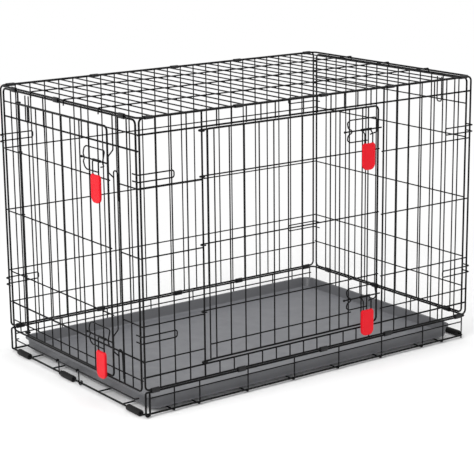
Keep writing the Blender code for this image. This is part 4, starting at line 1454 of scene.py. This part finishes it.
@dataclass(frozen=True)
class Studio:
    """Pale floor, soft lamps and the camera at the photograph's angle."""

    floor_size: float = 60.0
    floor_drop: float = 0.0002
    floor_colour: tuple = (0.97, 0.97, 0.97)
    fade_start: float = 0.75
    fade_end: float = 1.5
    camera_place: tuple = (-2.1367, -2.9479, 1.1680)
    camera_right: tuple = (0.80847, -0.58845, -0.01030)
    camera_up: tuple = (0.14962, 0.18857, 0.97059)
    lens: float = 121.06
    sky_light: float = 0.72
    target: tuple = (0.0, 0.0, 0.3)
    lamps: tuple = (
        ("key_lamp", (-2.8, -1.2, 2.3), 2.2, 72.0),
        ("top_lamp", (0.6, -0.6, 3.4), 2.6, 30.0),
    )

    def build(self) -> None:
        """Set the whole stage."""
        self.lay_floor()
        self.light_world()
        self.hang_lamps()
        self.set_camera()
        bpy.context.scene.view_settings.view_transform = "Standard"

    def lay_floor(self) -> None:
        """Lay a pale matt floor that turns to plain white away from the crate."""
        made = bpy.data.materials.new("studio_floor")
        made.use_nodes = True
        tree = made.node_tree
        shader = tree.nodes["Principled BSDF"]
        feed(shader, {"Base Color": self.floor_colour, "Roughness": 0.9, "Specular IOR Level": 0.0})
        place = add_node(tree, "TexCoord", {}, "Object")
        reach = add_node(tree, "VectorMath", {0: place}, "Value", operation="LENGTH")
        fade = {"Value": reach, "From Min": self.fade_start, "From Max": self.fade_end}
        fade = add_node(tree, "MapRange", fade, interpolation_type="SMOOTHSTEP")
        seen = {0: fade, 1: add_node(tree, "LightPath", {}, "Is Camera Ray")}
        mix = {0: add_node(tree, "Math", seen, operation="MULTIPLY"), 1: shader.outputs["BSDF"]}
        mix[2] = add_node(tree, "Emission", {"Color": WHITE})
        feed(tree.nodes["Material Output"], {"Surface": add_node(tree, "MixShader", mix)})
        under = (0.0, 0.0, -self.floor_drop)
        floor = primitive(bpy.ops.mesh.primitive_plane_add, size=self.floor_size, location=under)
        floor.name = "studio_floor"
        floor.data.materials.append(made)

    def light_world(self) -> None:
        """Light the crate evenly from a sky that the camera sees as plain white."""
        world = bpy.data.worlds.new("studio_world")
        bpy.context.scene.world = world
        world.use_nodes = True
        tree = world.node_tree
        glow = tree.nodes["Background"]
        feed(glow, {"Color": WHITE, "Strength": self.sky_light})
        mix = {0: add_node(tree, "LightPath", {}, "Is Camera Ray"), 1: glow.outputs["Background"]}
        mix[2] = add_node(tree, "Background", {"Color": WHITE, "Strength": 1.0})
        feed(tree.nodes["World Output"], {"Surface": add_node(tree, "MixShader", mix)})

    def hang_lamps(self) -> None:
        """Add the square soft lamps, each facing the crate."""
        for name, place, size, power in self.lamps:
            data = bpy.data.lights.new(name, "AREA")
            data.size = size
            data.energy = power
            lamp = bpy.data.objects.new(name, data)
            lamp.location = place
            lamp.rotation_mode = "QUATERNION"
            away = Vector(self.target) - lamp.location
            lamp.rotation_quaternion = away.to_track_quat("-Z", "Y")
            bpy.context.collection.objects.link(lamp)

    def set_camera(self) -> None:
        """Put the camera where the photograph was taken from."""
        data = bpy.data.cameras.new("photo_camera")
        data.lens = self.lens
        camera = bpy.data.objects.new("photo_camera", data)
        place = map(Vector, (self.camera_place, self.camera_right, self.camera_up))
        camera.matrix_world = placement(*place)
        bpy.context.collection.objects.link(camera)
        bpy.context.scene.camera = camera


def front_door(bench: Bench, panel: DoorPanel) -> Door:
    """The large door in the front panel.

    Args:
        bench: Takes its pieces.
        panel: The panel that it hangs in.

    Returns:
        The door.
    """
    hinge, latch = CRATE.upright(panel.hinge_bay), CRATE.upright(panel.latch_bay)
    hinge_gap, latch_gap = 0.0208, 0.0088
    left, right = hinge + hinge_gap, latch - latch_gap
    first, pitch, count = 0.016, 0.039, 9
    setbacks = (0.1106, 0.0836, 0.0456, 0.0286)
    kick_height, kick_start, kick_end = 0.129, 0.003, 0.079
    wires = [left, *(left + first + pitch * number for number in range(count))]
    wires += [right - setback for setback in setbacks]
    return Door(
        bench=bench, side=Side.FRONT, label="front",
        hinge=hinge, left=left, right=right, bottom=0.094, top=0.594,
        plane=-0.0087, rail_w=-0.0055, rails=(0.497, 0.3515, 0.206), uprights=wires,
        tip=latch - GAUGE.opening - GAUGE.run, bolts=(0.545, 0.1595), grip_w=0.0048,
        kick_rail=(kick_height, left - kick_start, right - kick_end),
    )


def end_door(bench: Bench, panel: LeftEnd, receiver: BoltReceiver) -> Door:
    """The door on the left end, which lies outside its opening.

    Args:
        bench: Takes its pieces.
        panel: The end that it hangs on.
        receiver: The wire that its bolts go behind.

    Returns:
        The door.
    """
    left, right, count = -0.1920, 0.1810, 10
    plane, pitch = 0.0077, (right - left) / count
    return Door(
        bench=bench, side=Side.LEFT, label="end",
        hinge=-panel.opening_u, left=left, right=right, bottom=0.065, top=0.605,
        plane=plane, rail_w=0.0045, rails=(0.492, 0.3465, 0.201),
        uprights=[left + pitch * number for number in range(count)],
        tip=0.190, bolts=receiver.bolts,
        grip_w=plane + GAUGE.layer + GAUGE.mesh + GAUGE.seat + Grip.thickness / 2,
    )


def main() -> None:
    """Build every piece of the crate and its stage."""
    logging.basicConfig(level=logging.INFO, format="%(message)s")
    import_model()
    low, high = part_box("top_panel")
    middle = (low + high) / 2
    bench = Bench(Vector((middle.x, middle.y, 0.0)))
    LOG.info("crate centre at %.5f, %.5f", middle.x, middle.y)
    front = DoorPanel(bench=bench, side=Side.FRONT, name="front_panel")
    left, receiver = LeftEnd(bench=bench), BoltReceiver(bench=bench)
    pieces = [
        Base(bench=bench),
        front,
        LongPanel(bench=bench, side=Side.BACK, name="back_panel"),
        TopPanel(bench=bench),
        left,
        receiver,
        RightEnd(bench=bench),
        front_door(bench, front),
        end_door(bench, left, receiver),
        PanStop(bench=bench),
        FloorPan(bench),
        Feet(bench),
        HingeClips(bench),
    ]
    for piece in pieces:
        piece.build()
    bpy.data.objects.remove(bench.weld, do_unlink=True)
    Studio().build()


if __name__ == "__main__":
    main()
